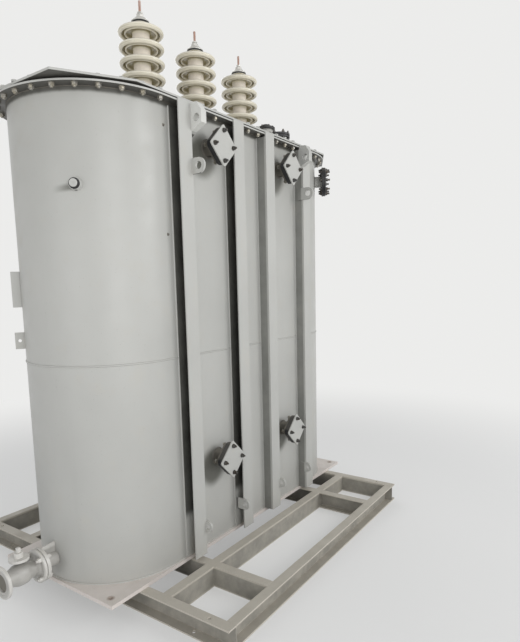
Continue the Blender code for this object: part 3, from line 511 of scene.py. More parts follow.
def make_finishes(paints, sheds):
    """Every finish of the object, by a short name."""
    dust = tuple(paints.dust)
    FINISHES.update(
        tank=enamel("tank_enamel", paints.tank, dust, 0.40, 0.8),
        wall=enamel("wall_enamel", paints.tank, dust, 0.40, 0.8, stained_and_shaded_wall),
        base=enamel("frame_enamel", paints.base, dust, 0.50, 0.7, shaded_beam_hollows),
        plate=enamel("plate_enamel", paints.plate, dust, 0.44, 0.5, rusty_holes),
        channel=enamel("channel_enamel", paints.tank, dust, 0.40, 0.8, sooty_hollows),
        drain=enamel("drain_enamel", paints.drain, dust, 0.34, 0.9, shaded_valve_body),
        # A dark dusty paint: painted shade on the radiator valves' pipes and rear flanges and on the bead
        # under the flange; also the drain's dark bore and the wall stubs.
        soot=enamel("bore_soot", tuple(0.35 * value for value in dust), dust, 0.60, 1.0),
        porcelain=glaze("ivory_glaze", paints.porcelain, dust, sheds),
        black=black_coat("black_coat", paints.black, dust),
        rubber=rubber("gasket_rubber", paints.rubber),
        zinc=plated("zinc_plate", paints.zinc, (0.38, 0.35, 0.28), 0.55),
        dark_steel=plated("dark_steel", (0.13, 0.13, 0.13), (0.10, 0.085, 0.07), 0.42),
        copper=plated("stud_copper", paints.copper, (0.56, 0.38, 0.32), 0.38),
        cap=plated("cap_metal", paints.cap, (0.52, 0.51, 0.48), 0.36),
    )


def arc(middle, radius, start, sweep, steps):
    """Points of an arc."""
    angles = [start + sweep * step / steps for step in range(steps + 1)]
    return [(middle[0] + radius * math.cos(a), middle[1] + radius * math.sin(a)) for a in angles]


def ring(radius, steps, start=0.0):
    """A closed circle."""
    return arc((0.0, 0.0), radius, start, TURN, steps)[:-1]


def obround(radius, steps=64):
    """Outline round the tank: two straight sides and two half circles, from the far end's corner."""
    far = arc((HALF_STRAIGHT, 0.0), radius, -QUARTER, math.pi, steps)
    return far + arc((-HALF_STRAIGHT, 0.0), radius, QUARTER, math.pi, steps)


def diamond(side, corner, steps=6):
    """A square with rounded corners that stands on one of them."""
    reach = 0.5 * side - corner
    points = []
    for index, (sign_x, sign_y) in enumerate(((1, 1), (-1, 1), (-1, -1), (1, -1))):
        points += arc((sign_x * reach, sign_y * reach), corner, index * QUARTER, QUARTER, steps)
    cosine, sine = math.cos(EIGHTH), math.sin(EIGHTH)
    return [(x * cosine - y * sine, x * sine + y * cosine) for x, y in points]


def lathe(profile, steps=64):
    """A turned solid round Z. The profile runs down its outer side, from pole to pole."""
    body = bmesh.new()
    rows = []
    for radius, height in profile:
        spots = ring(radius, steps) if radius else [(0.0, 0.0)]
        rows.append([body.verts.new((x, y, height)) for x, y in spots])
    for upper, lower in zip(rows, rows[1:]):
        for i in range(steps):
            j = (i + 1) % steps
            if len(upper) == 1:
                body.faces.new((upper[0], lower[i], lower[j]))
            elif len(lower) == 1:
                body.faces.new((upper[i], lower[0], upper[j]))
            else:
                body.faces.new((upper[i], lower[i], lower[j], upper[j]))
    return to_mesh(body)


def to_mesh(body):
    """Turns a bmesh into a mesh whose faces point outwards."""
    bmesh.ops.recalc_face_normals(body, faces=body.faces)
    mesh = bpy.data.meshes.new("shape")
    body.to_mesh(mesh)
    body.free()
    return mesh


def cleaned(mesh, flat):
    """A copy without doubled points or edges inside a flat face."""
    body = bmesh.new()
    body.from_mesh(mesh)
    bmesh.ops.remove_doubles(body, verts=body.verts, dist=MERGE)
    bmesh.ops.dissolve_limit(body, angle_limit=flat, verts=body.verts, edges=body.edges)
    return to_mesh(body)


def slab(outlines, thickness, edge):
    """A plate of any outline, centred on its thickness, with rounded edges. Later outlines are holes."""
    curve = bpy.data.curves.new("outline", "CURVE")
    curve.dimensions = "2D"
    curve.fill_mode = "BOTH"
    curve.extrude = 0.5 * thickness - edge
    curve.bevel_depth = edge
    curve.offset = -edge
    curve.bevel_resolution = 1
    for points in outlines:
        spline = curve.splines.new("POLY")
        spline.points.add(len(points) - 1)
        for point, (x, y) in zip(spline.points, points):
            point.co = (x, y, 0.0, 1.0)
        spline.use_cyclic_u = True
    carrier = bpy.data.objects.new("outline", curve)
    bpy.context.scene.collection.objects.link(carrier)
    mesh = evaluated(carrier)
    bpy.data.objects.remove(carrier)
    bpy.data.curves.remove(curve)
    return cleaned(mesh, 0.01)


def evaluated(item):
    """An object's shape with its modifiers, as a plain mesh."""
    bpy.context.view_layer.update()
    return bpy.data.meshes.new_from_object(item.evaluated_get(bpy.context.evaluated_depsgraph_get()))


def node_copy(name):
    """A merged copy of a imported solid's mesh."""
    return cleaned(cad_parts[name].data, 0.02)


class Bolt(NamedTuple):
    """Sizes of a bolt or nut and its finish. A washer without a radius follows the width."""

    width: float
    head: float
    stud: float
    length: float
    finish: str = "zinc"
    washer: float = 0.0


HIDDEN_STUD = 0.0005
FOOT_NUT = Bolt(0.018, 0.010, 0.005, 0.008)
CAP_NUT = Bolt(0.040, 0.016, 0.010, HIDDEN_STUD, "cap", 0.026)
LOCK_NUT = Bolt(0.030, 0.009, 0.010, HIDDEN_STUD, "cap", 0.014)
TURRET_BOLT = Bolt(0.014, 0.006, 0.004, 0.006, "dark_steel")
NECK_NUT = Bolt(0.018, 0.009, 0.006, 0.010, "dark_steel")
NECK_BOLT = Bolt(0.018, 0.009, 0.006, 0.004, "dark_steel")
VALVE_NUT = Bolt(0.021, 0.012, 0.006, 0.012, "dark_steel")
VALVE_BOLT = Bolt(0.021, 0.010, 0.006, 0.002)
DRAIN_NUT = Bolt(0.025, 0.015, 0.008, 0.011, "drain")
DRAIN_BOLT = Bolt(0.025, 0.014, 0.008, 0.008, "drain")
BLANK_NUT = Bolt(0.022, 0.012, 0.007, 0.018, "dark_steel")
BLANK_BOLT = Bolt(0.022, 0.010, 0.007, 0.012, "dark_steel")


class Piece:
    """Shapes gathered into one object that rides on the transformer."""

    def __init__(self, name):
        self.name = name
        self.body = bmesh.new()
        self.finishes = []

    def add(self, mesh, finish, *places):
        """Adds a copy of the mesh at each place; the mesh is used up."""
        if finish not in self.finishes:
            self.finishes.append(finish)
        index = self.finishes.index(finish)
        for place in places or (Matrix.Identity(4),):
            start = len(self.body.faces)
            copy = mesh.copy()
            copy.transform(place)
            self.body.from_mesh(copy)
            bpy.data.meshes.remove(copy)
            self.body.faces.ensure_lookup_table()
            for face in self.body.faces[start:]:
                face.material_index = index
        bpy.data.meshes.remove(mesh)
        return self

    def turned(self, place, *rows, steps=64):
        """Adds turned solids at one place, each as (finish, profile)."""
        for finish, profile in rows:
            self.add(lathe(profile, steps), finish, place)
        return self

    def bolted(self, places, bolt, seed):
        """Adds a bolt or nut at each (place, direction) pair."""
        return self.add(bolts(places, bolt, seed), bolt.finish)

    def finish(self, slot, *nodes, sharp=35.0, edge=0.0):
        """Makes the object; it stands for the given nodes."""
        mesh = bpy.data.meshes.new(self.name)
        self.body.to_mesh(mesh)
        self.body.free()
        for finish in self.finishes:
            mesh.materials.append(FINISHES[finish])
        mesh.shade_smooth()
        item = bpy.data.objects.new(self.name, mesh)
        bpy.context.scene.collection.objects.link(item)
        if edge:
            bevel = item.modifiers.new("edges", "BEVEL")
            bevel.width = edge
            bevel.segments = 2
            bevel.limit_method = "ANGLE"
            bevel.angle_limit = math.radians(sharp)
            bevel.use_clamp_overlap = True
            item = applied(item)
        item.data.shade_smooth()
        item.data.set_sharp_from_angle(angle=math.radians(sharp))
        weighted = item.modifiers.new("normals", "WEIGHTED_NORMAL")
        weighted.keep_sharp = True
        item = applied(item)
        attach(item, ROOT)
        if nodes:
            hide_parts(*nodes)


def applied(item):
    """The object with its modifiers made into a plain mesh."""
    mesh, old = evaluated(item), item.data
    item.modifiers.clear()
    item.data = mesh
    bpy.data.meshes.remove(old)
    mesh.name = item.name
    return item


def eased(node, finish, edge, slot="tank_paint"):
    """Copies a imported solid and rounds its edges."""
    Piece("eased_" + node).add(node_copy(node), finish).finish(slot, node, edge=edge)


class ShapeGraph(Graph):
    """A Geometry Nodes tree with named inputs, which ends in realized instances and a material."""

    def __init__(self, name, sizes):
        super().__init__(bpy.data.node_groups.new(name, "GeometryNodeTree"))
        self.tree.is_modifier = True
        sockets = self.tree.interface
        sockets.new_socket("Geometry", in_out="INPUT", socket_type="NodeSocketGeometry")
        self.names = {}
        for label, kind in sizes.items():
            made = sockets.new_socket(label, in_out="INPUT", socket_type="NodeSocket" + kind)
            self.names[label] = made.identifier
        sockets.new_socket("Geometry", in_out="OUTPUT", socket_type="NodeSocketGeometry")
        self.inputs = self.tree.nodes.new("NodeGroupInput")

    def given(self, label):
        """A named input."""
        return Socket(self, self.inputs.outputs[label])

    def end(self, geometry):
        """Realizes the instances, sets the material and closes the tree."""
        real = self.node("GeometryNodeRealizeInstances", None, (geometry,))
        inputs = {"Geometry": real, "Material": self.given("Material")}
        self.close("NodeGroupOutput", self.node("GeometryNodeSetMaterial", None, inputs))

    def run(self, guide, values):
        """The tree's result on a guide mesh, as a plain mesh."""
        carrier = bpy.data.objects.new("guide", guide)
        bpy.context.scene.collection.objects.link(carrier)
        modifier = carrier.modifiers.new("shape", "NODES")
        modifier.node_group = self.tree
        for label, value in values.items():
            modifier[self.names[label]] = value
        carrier.update_tag()
        mesh = evaluated(carrier)
        carrier.modifiers.remove(modifier)
        bpy.data.objects.remove(carrier)
        return mesh


def bolt_graph():
    """Washer, chamfered hexagon and threaded end on every point, each with its own turn.

    The point's attribute "facing" says which way the bolt looks.
    """
    graph = ShapeGraph("bolt_rows", {
        "Width": "Float", "Head": "Float", "Washer": "Float", "Washer height": "Float",
        "Stud": "Float", "Stud length": "Float", "Seed": "Int", "Material": "Material",
    })
    width, head, sheet = graph.given("Width"), graph.given("Head"), graph.given("Washer height")
    stud, length = graph.given("Stud"), graph.given("Stud length")

    def bar(sides, radius, height, base, chamfer_share):
        """A standing prism whose top edge is chamfered."""
        made = graph.node("GeometryNodeMeshCylinder", None, {
            "Vertices": sides, "Radius": radius, "Depth": height * (1.0 - chamfer_share),
        })
        raised = graph.node("GeometryNodeExtrudeMesh", None, {
            "Mesh": made, "Selection": made.other("Top"), "Offset Scale": height * chamfer_share,
        })
        narrowed = graph.node("GeometryNodeScaleElements", None, {
            "Geometry": raised, "Selection": raised.other("Top"), "Scale": 0.86,
        })
        middle = height * (0.5 * (1.0 - chamfer_share))
        lift = graph.node("ShaderNodeCombineXYZ", None, {"Z": base + middle if base else middle})
        return graph.node("GeometryNodeTransform", None, {"Geometry": narrowed, "Translation": lift})

    shapes = (
        bar(18, graph.given("Washer"), sheet, None, 0.2),
        bar(6, width * (1.0 / math.sqrt(3.0)), head, sheet, 0.18),
        bar(10, stud, length, sheet + head * 0.9, 0.12),
    )
    joined = graph.tree.nodes.new("GeometryNodeJoinGeometry")
    for shape in shapes:
        graph.tree.links.new(shape.socket, joined.inputs[0])
    facing = graph.node("GeometryNodeInputNamedAttribute", {"data_type": "FLOAT_VECTOR"}, {"Name": "facing"})
    turn = graph.node("FunctionNodeRandomValue", {"data_type": "FLOAT"}, {
        2: 0.0, 3: TURN, "Seed": graph.given("Seed"),
    }, 1)
    spin = graph.node("FunctionNodeAxisAngleToRotation", None, {"Axis": (0.0, 0.0, 1.0), "Angle": turn})
    aimed = graph.node("FunctionNodeAlignRotationToVector", {"axis": "Z"}, {"Vector": facing})
    rotation = graph.node("FunctionNodeRotateRotation", {"rotation_space": "LOCAL"}, (aimed, spin))
    points = graph.node("GeometryNodeMeshToPoints", None, {"Mesh": graph.given("Geometry")})
    graph.end(graph.node("GeometryNodeInstanceOnPoints", None, {
        "Points": points, "Instance": Socket(graph, joined.outputs[0]), "Rotation": rotation,
    }))
    return graph


def weld_graph():
    """A rippled bead along every chain of edges."""
    graph = ShapeGraph("weld_beads", {
        "Bead": "Float", "Ripple": "Float", "Depth": "Float", "Seed": "Float", "Material": "Material",
    })
    ripple = graph.given("Ripple")
    path = graph.node("GeometryNodeMeshToCurve", None, {"Mesh": graph.given("Geometry")})
    path = graph.node("GeometryNodeResampleCurve", {"mode": "LENGTH"}, {
        "Curve": path, "Length": ripple * 0.5,
    })
    along = graph.node("GeometryNodeSplineParameter", output="Length")
    wave = along.math("SINE", along * math.pi / ripple)
    wander = graph.node("ShaderNodeTexNoise", {"noise_dimensions": "4D"}, {
        "Vector": graph.node("GeometryNodeInputPosition"), "W": graph.given("Seed"),
        "Scale": 45.0, "Detail": 2.0,
    })
    swell = abs(wave) * graph.given("Depth") + (wander - 0.5) * 0.5 + 1.0
    beaded = graph.node("GeometryNodeSetCurveRadius", None, {"Curve": path, "Radius": swell})
    section = graph.node("GeometryNodeCurvePrimitiveCircle", None, {
        "Resolution": 8, "Radius": graph.given("Bead"),
    })
    tube = graph.node("GeometryNodeCurveToMesh", None, {
        "Curve": beaded, "Profile Curve": section, "Scale": swell, "Fill Caps": True,
    })
    graph.end(graph.node("GeometryNodeSetShadeSmooth", None, {"Geometry": tube}))
    return graph


def bolts(places, bolt, seed):
    """Bolts or nuts at the given (place, direction) pairs, as a mesh."""
    if "bolts" not in GRAPHS:
        GRAPHS["bolts"] = bolt_graph()
    mesh = bpy.data.meshes.new("points")
    mesh.from_pydata([tuple(place) for place, _ in places], [], [])
    facing = mesh.attributes.new("facing", "FLOAT_VECTOR", "POINT")
    for item, (_, direction) in zip(facing.data, places):
        item.vector = direction
    return GRAPHS["bolts"].run(mesh, {
        "Width": bolt.width, "Head": bolt.head, "Washer": bolt.washer or 0.62 * bolt.width,
        "Washer height": 0.12 * bolt.width, "Stud": bolt.stud, "Stud length": bolt.length,
        "Seed": seed, "Material": FINISHES[bolt.finish],
    })


def circle_of(place, lift, radius, count, sign=1.0, start=0.0):
    """Bolts' (place, direction) pairs on a circle round a place's Z axis."""
    direction = place.to_3x3() @ Vector((0.0, 0.0, sign))
    return [(place @ Vector((x, y, lift)), direction) for x, y in ring(radius, count, start)]


def beads(paths, radius, settings, finish="tank", seed=0.0):
    """Weld beads along the given (points, closed) chains, as a mesh."""
    if "welds" not in GRAPHS:
        GRAPHS["welds"] = weld_graph()
    points, edges = [], []
    for path, closed in paths:
        first = len(points)
        points += path
        edges += [(i, i + 1) for i in range(first, len(points) - 1)]
        if closed:
            edges.append((len(points) - 1, first))
    mesh = bpy.data.meshes.new("paths")
    mesh.from_pydata(points, edges, [])
    return GRAPHS["welds"].run(mesh, {
        "Bead": radius, "Ripple": settings.ripple, "Depth": settings.depth, "Seed": seed,
        "Material": FINISHES[finish],
    })


class DressOperator:
    """What the operators of this add-on share."""

    bl_options = {"REGISTER", "UNDO"}

    def execute(self, context):
        self.make(context.scene)
        return {"FINISHED"}


class TRANSFORMER_OT_finishes(DressOperator, bpy.types.Operator):
    """Makes the finishes and paints the solids that stay"""

    bl_idname = "transformer.finishes"
    bl_label = "Finishes"

    def make(self, scene):
        make_finishes(scene.transformer_paints, scene.transformer_porcelain)
        kinds = (("base_", "base"), ("porcelain", "porcelain"), ("gasket", "rubber"), ("", "tank"))
        for name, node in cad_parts.items():
            finish = next(finish for word, finish in kinds if word in name)
            node.data.materials.clear()
            node.data.materials.append(FINISHES[finish])


class TRANSFORMER_OT_shell(DressOperator, bpy.types.Operator):
    """Makes the smooth tank walls, the floor plate, the flange, the gasket and the cover"""

    bl_idname = "transformer.shell"
    bl_label = "Tank shell"

    def make(self, scene):
        wall, bore = obround(TANK_RADIUS), obround(TANK_RADIUS - WALL_THICKNESS)
        gasket = obround(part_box("cover_gasket")[1].y - GASKET_SETBACK)
        seat = obround(TANK_RADIUS + GASKET_LAP)
        low, high = (corner.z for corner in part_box("tank_wall_lower"))
        sunk = FLANGE_UNDER + 0.002
        sheets = (
            ("smooth_tank_wall_lower", "tank_wall_lower", "wall", wall, bore, low, high, 0.0012),
            ("smooth_tank_wall_upper", "tank_wall_upper", "wall", wall, bore, WALL_LOW.z, sunk, 0.0012),
            ("flange_ring", "tank_flange", "tank", obround(FLANGE_HIGH.y), bore,
             FLANGE_UNDER, FLANGE_TOP, 0.0015),
            ("gasket_sheet", "cover_gasket", "rubber", gasket, seat, FLANGE_TOP, COVER_UNDER, 0.003),
        )
        for name, node, finish, outer, inner, under, top, edge in sheets:
            sheet = slab([outer, inner], top - under, edge)
            slot = "black_rubber" if finish == "rubber" else "tank_paint"
            Piece(name).add(sheet, finish, at(TANK_X, 0.0, 0.5 * (under + top))).finish(slot, node)
        cover = node_copy("cover_plate")
        for vertex in cover.vertices:
            vertex.co.z = max(vertex.co.z, COVER_UNDER)
        Piece("eased_cover_plate").add(cover, "tank").finish("tank_paint", "cover_plate", edge=0.002)
        eased("tank_floor", "plate", 0.002)


class TRANSFORMER_OT_stiffeners(DressOperator, bpy.types.Operator):
    """Eases the edges of stiffeners, brackets and frame beams"""

    bl_idname = "transformer.stiffeners"
    bl_label = "Stiffeners and beams"

    def make(self, scene):
        kinds = (
            ("stiffener_", "channel", 0.0015, "tank_paint"),
            ("end_bracket", "tank", 0.001, "tank_paint"),
            ("base_", "base", 0.002, "frame_paint"),
        )
        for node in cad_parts:
            for start, *rest in kinds:
                if node.startswith(start):
                    eased(node, *rest)


class TRANSFORMER_OT_flange_bolts(DressOperator, bpy.types.Operator):
    """Sets the bolts that clamp the cover on the tank flange"""

    bl_idname = "transformer.flange_bolts"
    bl_label = "Flange bolts"

    def make(self, scene):
        sizes = scene.transformer_fasteners
        straight = 0.98 * sizes.circle
        spots = [
            (TANK_X + x, y) for x, y in spaced(obround(sizes.circle, 90), sizes.pitch)
            if abs(y) <= straight or not near_stiffener(TANK_X + x)
        ]
        nut = Bolt(sizes.width, sizes.nut, sizes.stud, sizes.tail)
        bolt = Bolt(sizes.width, sizes.head, sizes.stud, HIDDEN_STUD, "tank", sizes.washer)
        piece = Piece("flange_bolts")
        for height, sign, kind, seed in (
            (FLANGE_UNDER, -1.0, nut, sizes.seed), (COVER_HIGH.z, 1.0, bolt, sizes.seed + 1),
        ):
            piece.bolted([((x, y, height), (0.0, 0.0, sign)) for x, y in spots], kind, seed)
        piece.finish("fitting_steel")


def spaced(outline, pitch):
    """Points on a closed outline, evenly spaced at about the pitch."""
    legs = list(zip(outline, outline[1:] + outline[:1]))
    lengths = [math.dist(a, b) for a, b in legs]
    count = round(sum(lengths) / pitch)
    step = sum(lengths) / count
    points, travelled, due = [], 0.0, 0.5 * step
    for (a, b), length in zip(legs, lengths):
        while due <= travelled + length and len(points) < count:
            share = (due - travelled) / length
            points.append((a[0] + share * (b[0] - a[0]), a[1] + share * (b[1] - a[1])))
            due += step
        travelled += length
    return points


def near_stiffener(x, gap=0.02):
    """Whether a place along the straight side lies at a stiffener's flank."""
    boxes = [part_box(f"stiffener_front_{number}") for number in NUMBERS]
    return any(low.x - gap < x < high.x + gap for low, high in boxes)


class TRANSFORMER_OT_welds(DressOperator, bpy.types.Operator):
    """Lays the weld beads of the tank"""

    bl_idname = "transformer.welds"
    bl_label = "Weld beads"

    def make(self, scene):
        sizes = scene.transformer_welds
        outline = [(TANK_X + x, y) for x, y in obround(TANK_RADIUS, 90)]
        # Height, share of the bead's radius and finish: seam, foot and flange.
        rings = (
            (WALL_LOW.z, 1.0, "tank"),
            (FLOOR_HIGH.z + 0.001, 1.2, "tank"),
            # The bead under the flange is dark as painted shadow.
            (FLANGE_UNDER - 0.001, 0.7, "soot"),
        )
        piece = Piece("shell_welds")
        for z, share, finish in rings:
            path = [(x, y, z) for x, y in outline]
            piece.add(beads([(path, True)], share * sizes.bead, sizes, finish), finish)
        piece.finish("tank_paint", sharp=80.0)
        flanks = []
        for side_name, side in SIDES:
            for number in NUMBERS:
                low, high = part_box(f"stiffener_{side_name}_{number}")
                start = low.x if number in (1, 3) else high.x - STIFFENER_WIDTH
                for x in (start, start + STIFFENER_WIDTH):
                    flanks.append(([(x, side * TANK_RADIUS, z) for z in (low.z, FLANGE_LOW.z)], False))
        welds = beads(flanks, 0.8 * sizes.bead, sizes, seed=3.0)
        Piece("stiffener_welds").add(welds, "tank").finish("tank_paint", sharp=80.0)


class TRANSFORMER_OT_radiator_valves(DressOperator, bpy.types.Operator):
    """Makes the radiator valves with their black bodies and square blank plates"""

    bl_idname = "transformer.radiator_valves"
    bl_label = "Radiator valves"

    # The pipe and the rear flange are dark as painted shade behind the valve.
    pipe = [(0.0, 0.063), (0.046, 0.063), (0.046, 0.006), (0.054, 0.0), (0.0, 0.0)]
    # Finish, distance from the wall, thickness, width, corner and edge.
    layers = (
        ("soot", 0.062, 0.018, 0.138, 0.030, 0.0015),
        ("black", 0.080, 0.034, 0.159, 0.030, 0.004),
        ("tank", 0.114, 0.008, 0.165, 0.012, 0.0010),
    )
    circle = 0.081
    front = 0.122
    back = 0.062

    def make(self, scene):
        for side_name, side in SIDES:
            for row in ("upper", "lower"):
                for end in ("near", "far"):
                    self.valve(f"radiator_valve_{side_name}_{row}_{end}", side)

    def valve(self, node, side):
        x, _, z = centre(node)
        wall = side * min(abs(corner.y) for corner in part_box(node))
        piece = Piece("dressed_" + node).turned(at(x, wall, z, SIDEWAYS[side]), ("soot", self.pipe))
        for finish, offset, thickness, width, corner, edge in self.layers:
            layer = slab([diamond(width, corner)], thickness, edge)
            piece.add(layer, finish, at(x, wall + side * (offset + 0.5 * thickness), z, SIDEWAYS[side]))
        place = at(x, wall, z, SOUTH)
        seed = round(1000 * (x + z) + side)
        piece.bolted(circle_of(place, -side * self.front, self.circle, 4, -side), VALVE_NUT, seed)
        piece.bolted(circle_of(place, -side * self.back, self.circle, 4, side), VALVE_BOLT, seed + 1)
        piece.finish("tank_paint", node)


class TRANSFORMER_OT_bushings(DressOperator, bpy.types.Operator):
    """Makes the three bushings: clamping base, porcelain with its sheds, cap, nut and stud"""

    bl_idname = "transformer.bushings"
    bl_label = "Bushings"

    seal = [(0.0, 0.009), (0.049, 0.009), (0.052, 0.007), (0.052, 0.002), (0.050, 0.0), (0.0, 0.0)]
    lid = [
        (0.0, 0.034), (0.028, 0.034), (0.034, 0.031), (0.037, 0.024), (0.049, 0.018),
        (0.052, 0.015), (0.052, 0.010), (0.049, 0.008), (0.0, 0.008),
    ]
    cap_nut = 0.034
    lock_nut = 0.0545

    def make(self, scene):
        for number in NUMBERS[:3]:
            self.porcelain(scene.transformer_porcelain, f"bushing_{number}_porcelain")
            self.base(f"bushing_{number}_base", number)
            self.cap(f"bushing_{number}_cap", number)

    def porcelain(self, sizes, node):
        place, height = standing(node)
        profile = [(0.0, height), (0.052, height), (0.056, height - 0.004)]
        for index in range(sizes.sheds):
            rim = height - sizes.first - index * sizes.pitch
            profile += [(r, rim + z) for r, z in shed_profile(sizes)]
        profile += [(0.084, 0.030), (0.086, 0.026), (0.086, 0.0), (0.0, 0.0)]
        piece = Piece("glazed_" + node).turned(place, ("porcelain", profile), steps=72)
        piece.finish("porcelain_glaze", node, sharp=60.0)

    def base(self, node, number):
        place, height = standing(node)
        profile = [
            (0.0, height), (0.090, height), (0.096, height - 0.006), (0.096, 0.034), (0.104, 0.026),
            (0.117, 0.026), (0.120, 0.023), (0.120, 0.0), (0.0, 0.0),
        ]
        piece = Piece("clamp_" + node).turned(place, ("tank", profile))
        piece.bolted(circle_of(place, 0.026, 0.1085, 8), FOOT_NUT, 20 + number)
        piece.finish("tank_paint", node)

    def cap(self, node, number):
        place, height = standing(node)
        stud = [(0.0, height), (0.006, height), (0.0075, height - 0.002), (0.0075, 0.030), (0.0, 0.030)]
        piece = Piece("terminal_" + node).turned(place, ("rubber", self.seal), ("cap", self.lid))
        piece.turned(place, ("copper", threaded(stud, 0.0022, 0.0008)), steps=24)
        piece.bolted(circle_of(place, self.cap_nut, 0.0, 1), CAP_NUT, number)
        piece.bolted(circle_of(place, self.lock_nut, 0.0, 1), LOCK_NUT, 30 + number)
        piece.finish("fitting_steel", node)


def shed_profile(sizes):
    """Profile of one shed, from the core over the rim to the core below; its rim centre lies at height 0."""
    rim_x = sizes.radius - sizes.rim
    start = math.radians(66.0)
    top = [(sizes.core, 0.034), (sizes.core + 0.003, 0.029), (sizes.core + 0.010, 0.0255)]
    rim = arc((rim_x, 0.0), sizes.rim, start, -start - QUARTER, 12)
    hollow = -sizes.rim + 0.018
    under = [
        (rim_x - 0.005, -sizes.rim + 0.001), (rim_x - 0.008, -sizes.rim + 0.006),
        (0.1085, hollow - 0.003), (0.105, hollow), (0.101, hollow - 0.001), (0.096, hollow - 0.006),
        (0.093, hollow - 0.0150), (0.090, hollow - 0.0165), (0.087, hollow - 0.0150), (0.084, hollow - 0.006),
        (0.079, hollow - 0.001), (0.074, hollow), (0.060, hollow), (0.054, hollow - 0.003),
        (sizes.core, hollow - 0.010),
    ]
    return top + rim + under


def threaded(profile, pitch, depth):
    """Adds ridges to the longest upright stretch of a profile."""
    longest = max(range(len(profile) - 1), key=lambda i: abs(profile[i][1] - profile[i + 1][1]))
    (radius, top), (_, bottom) = profile[longest], profile[longest + 1]
    ridges = []
    for index in range(int((top - bottom) / pitch)):
        height = top - index * pitch
        ridges += [(radius, height - 0.25 * pitch), (radius - depth, height - 0.75 * pitch)]
    return profile[:longest + 1] + ridges + profile[longest + 1:]


class TRANSFORMER_OT_turret(DressOperator, bpy.types.Operator):
    """Makes the capped turret on the cover"""

    bl_idname = "transformer.turret"
    bl_label = "Turret"

    def make(self, scene):
        place, height = standing("cover_turret")
        pipe = [
            (0.0, 0.221), (0.052, 0.221), (0.052, 0.026), (0.060, 0.018), (0.092, 0.018),
            (0.095, 0.015), (0.095, 0.0), (0.0, 0.0),
        ]
        cap = [
            (0.0, height), (0.031, height), (0.034, height - 0.003), (0.034, 0.244), (0.038, 0.240),
            (0.067, 0.240), (0.070, 0.237), (0.070, 0.223), (0.067, 0.220), (0.0, 0.220),
        ]
        piece = Piece("dressed_turret").turned(place, ("tank", pipe), ("black", cap))
        piece.bolted(circle_of(place, 0.018, 0.078, 6), FOOT_NUT, 51)
        piece.bolted(circle_of(place, 0.240, 0.053, 6), TURRET_BOLT, 52)
        piece.finish("tank_paint", "cover_turret")


class TRANSFORMER_OT_cover_neck(DressOperator, bpy.types.Operator):
    """Makes the blanked neck on the cover, with its flange, blank and studs"""

    bl_idname = "transformer.cover_neck"
    bl_label = "Cover neck"

    def make(self, scene):
        place, height = standing("cover_neck_blank")
        neck = [(0.0, 0.046), (0.052, 0.046), (0.052, 0.006), (0.055, 0.0), (0.0, 0.0)]
        flange = [
            (0.0, 0.057), (0.0735, 0.057), (0.075, 0.0555), (0.075, 0.0455), (0.0735, 0.044), (0.0, 0.044),
        ]
        seal = [(0.0, 0.060), (0.071, 0.060), (0.071, 0.056), (0.0, 0.056)]
        blank = [
            (0.0, height), (0.073, height), (0.075, height - 0.002), (0.075, 0.0605), (0.0735, 0.059),
            (0.0, 0.059),
        ]
        piece = Piece("dressed_cover_neck").turned(
            place, ("tank", neck), ("black", flange), ("rubber", seal), ("black", blank))
        piece.bolted(circle_of(place, height, 0.062, 6), NECK_NUT, 55)
        piece.bolted(circle_of(place, 0.044, 0.062, 6, -1.0), NECK_BOLT, 56)
        piece.finish("black_paint", "cover_neck_blank")


class TRANSFORMER_OT_drain(DressOperator, bpy.types.Operator):
    """Makes the drain valve with its flanges, bolts, bonnet and square stem"""

    bl_idname = "transformer.drain"
    bl_label = "Drain valve"

    circle = 0.071

    def make(self, scene):
        low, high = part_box("drain_valve_body")
        length = high.x - low.x
        _, y, z = centre("drain_valve_body")
        body = [
            (0.0, length - 0.012), (0.046, length - 0.012), (0.047, length - 0.002), (0.060, length - 0.002),
            (0.061, length), (0.080, length), (0.082, length - 0.002), (0.082, length - 0.014),
            (0.080, length - 0.016), (0.054, length - 0.017), (0.044, length - 0.026),
            (0.044, 0.152), (0.050, 0.138), (0.054, 0.128), (0.056, 0.105), (0.054, 0.082), (0.050, 0.072),
            (0.044, 0.058), (0.044, 0.030), (0.054, 0.018), (0.086, 0.017), (0.088, 0.015), (0.088, 0.005),
            (0.086, 0.003), (0.0, 0.003),
        ]
        bore = [
            (0.0, length - 0.010), (0.045, length - 0.010), (0.045, length - 0.014), (0.0, length - 0.014),
        ]
        seal = [(0.0, 0.004), (0.074, 0.004), (0.074, 0.0), (0.0, 0.0)]
        piece = Piece("dressed_drain_valve").turned(
            at(high.x, y, z, WEST), ("drain", body), ("soot", bore), ("rubber", seal))
        inner = circle_of(at(high.x, y, z, DIAL), -0.017, self.circle, 4, -1.0, EIGHTH)
        piece.bolted(inner, DRAIN_NUT, 61).finish("tank_paint", "drain_valve_body")
        flange = at(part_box("drain_pipe")[0].x, y, z, DIAL)
        piece = Piece("eased_drain_pipe").add(node_copy("drain_pipe"), "drain")
        piece.bolted(circle_of(flange, 0.018, self.circle, 4, 1.0, EIGHTH), DRAIN_BOLT, 62)
        piece.finish("tank_paint", "drain_pipe", edge=0.001)
        piece = Piece("eased_drain_stem").add(node_copy("drain_valve_stem"), "drain")
        piece.finish("tank_paint", "drain_valve_stem", edge=0.001)


def on_end(angle, end, z):
    """A place on the near (-1) or far (1) round end, facing away from the tank."""
    x = TANK_X + end * HALF_STRAIGHT + TANK_RADIUS * math.cos(angle)
    return at(x, TANK_RADIUS * math.sin(angle), z, Matrix.Rotation(angle, 4, "Z") @ EAST)


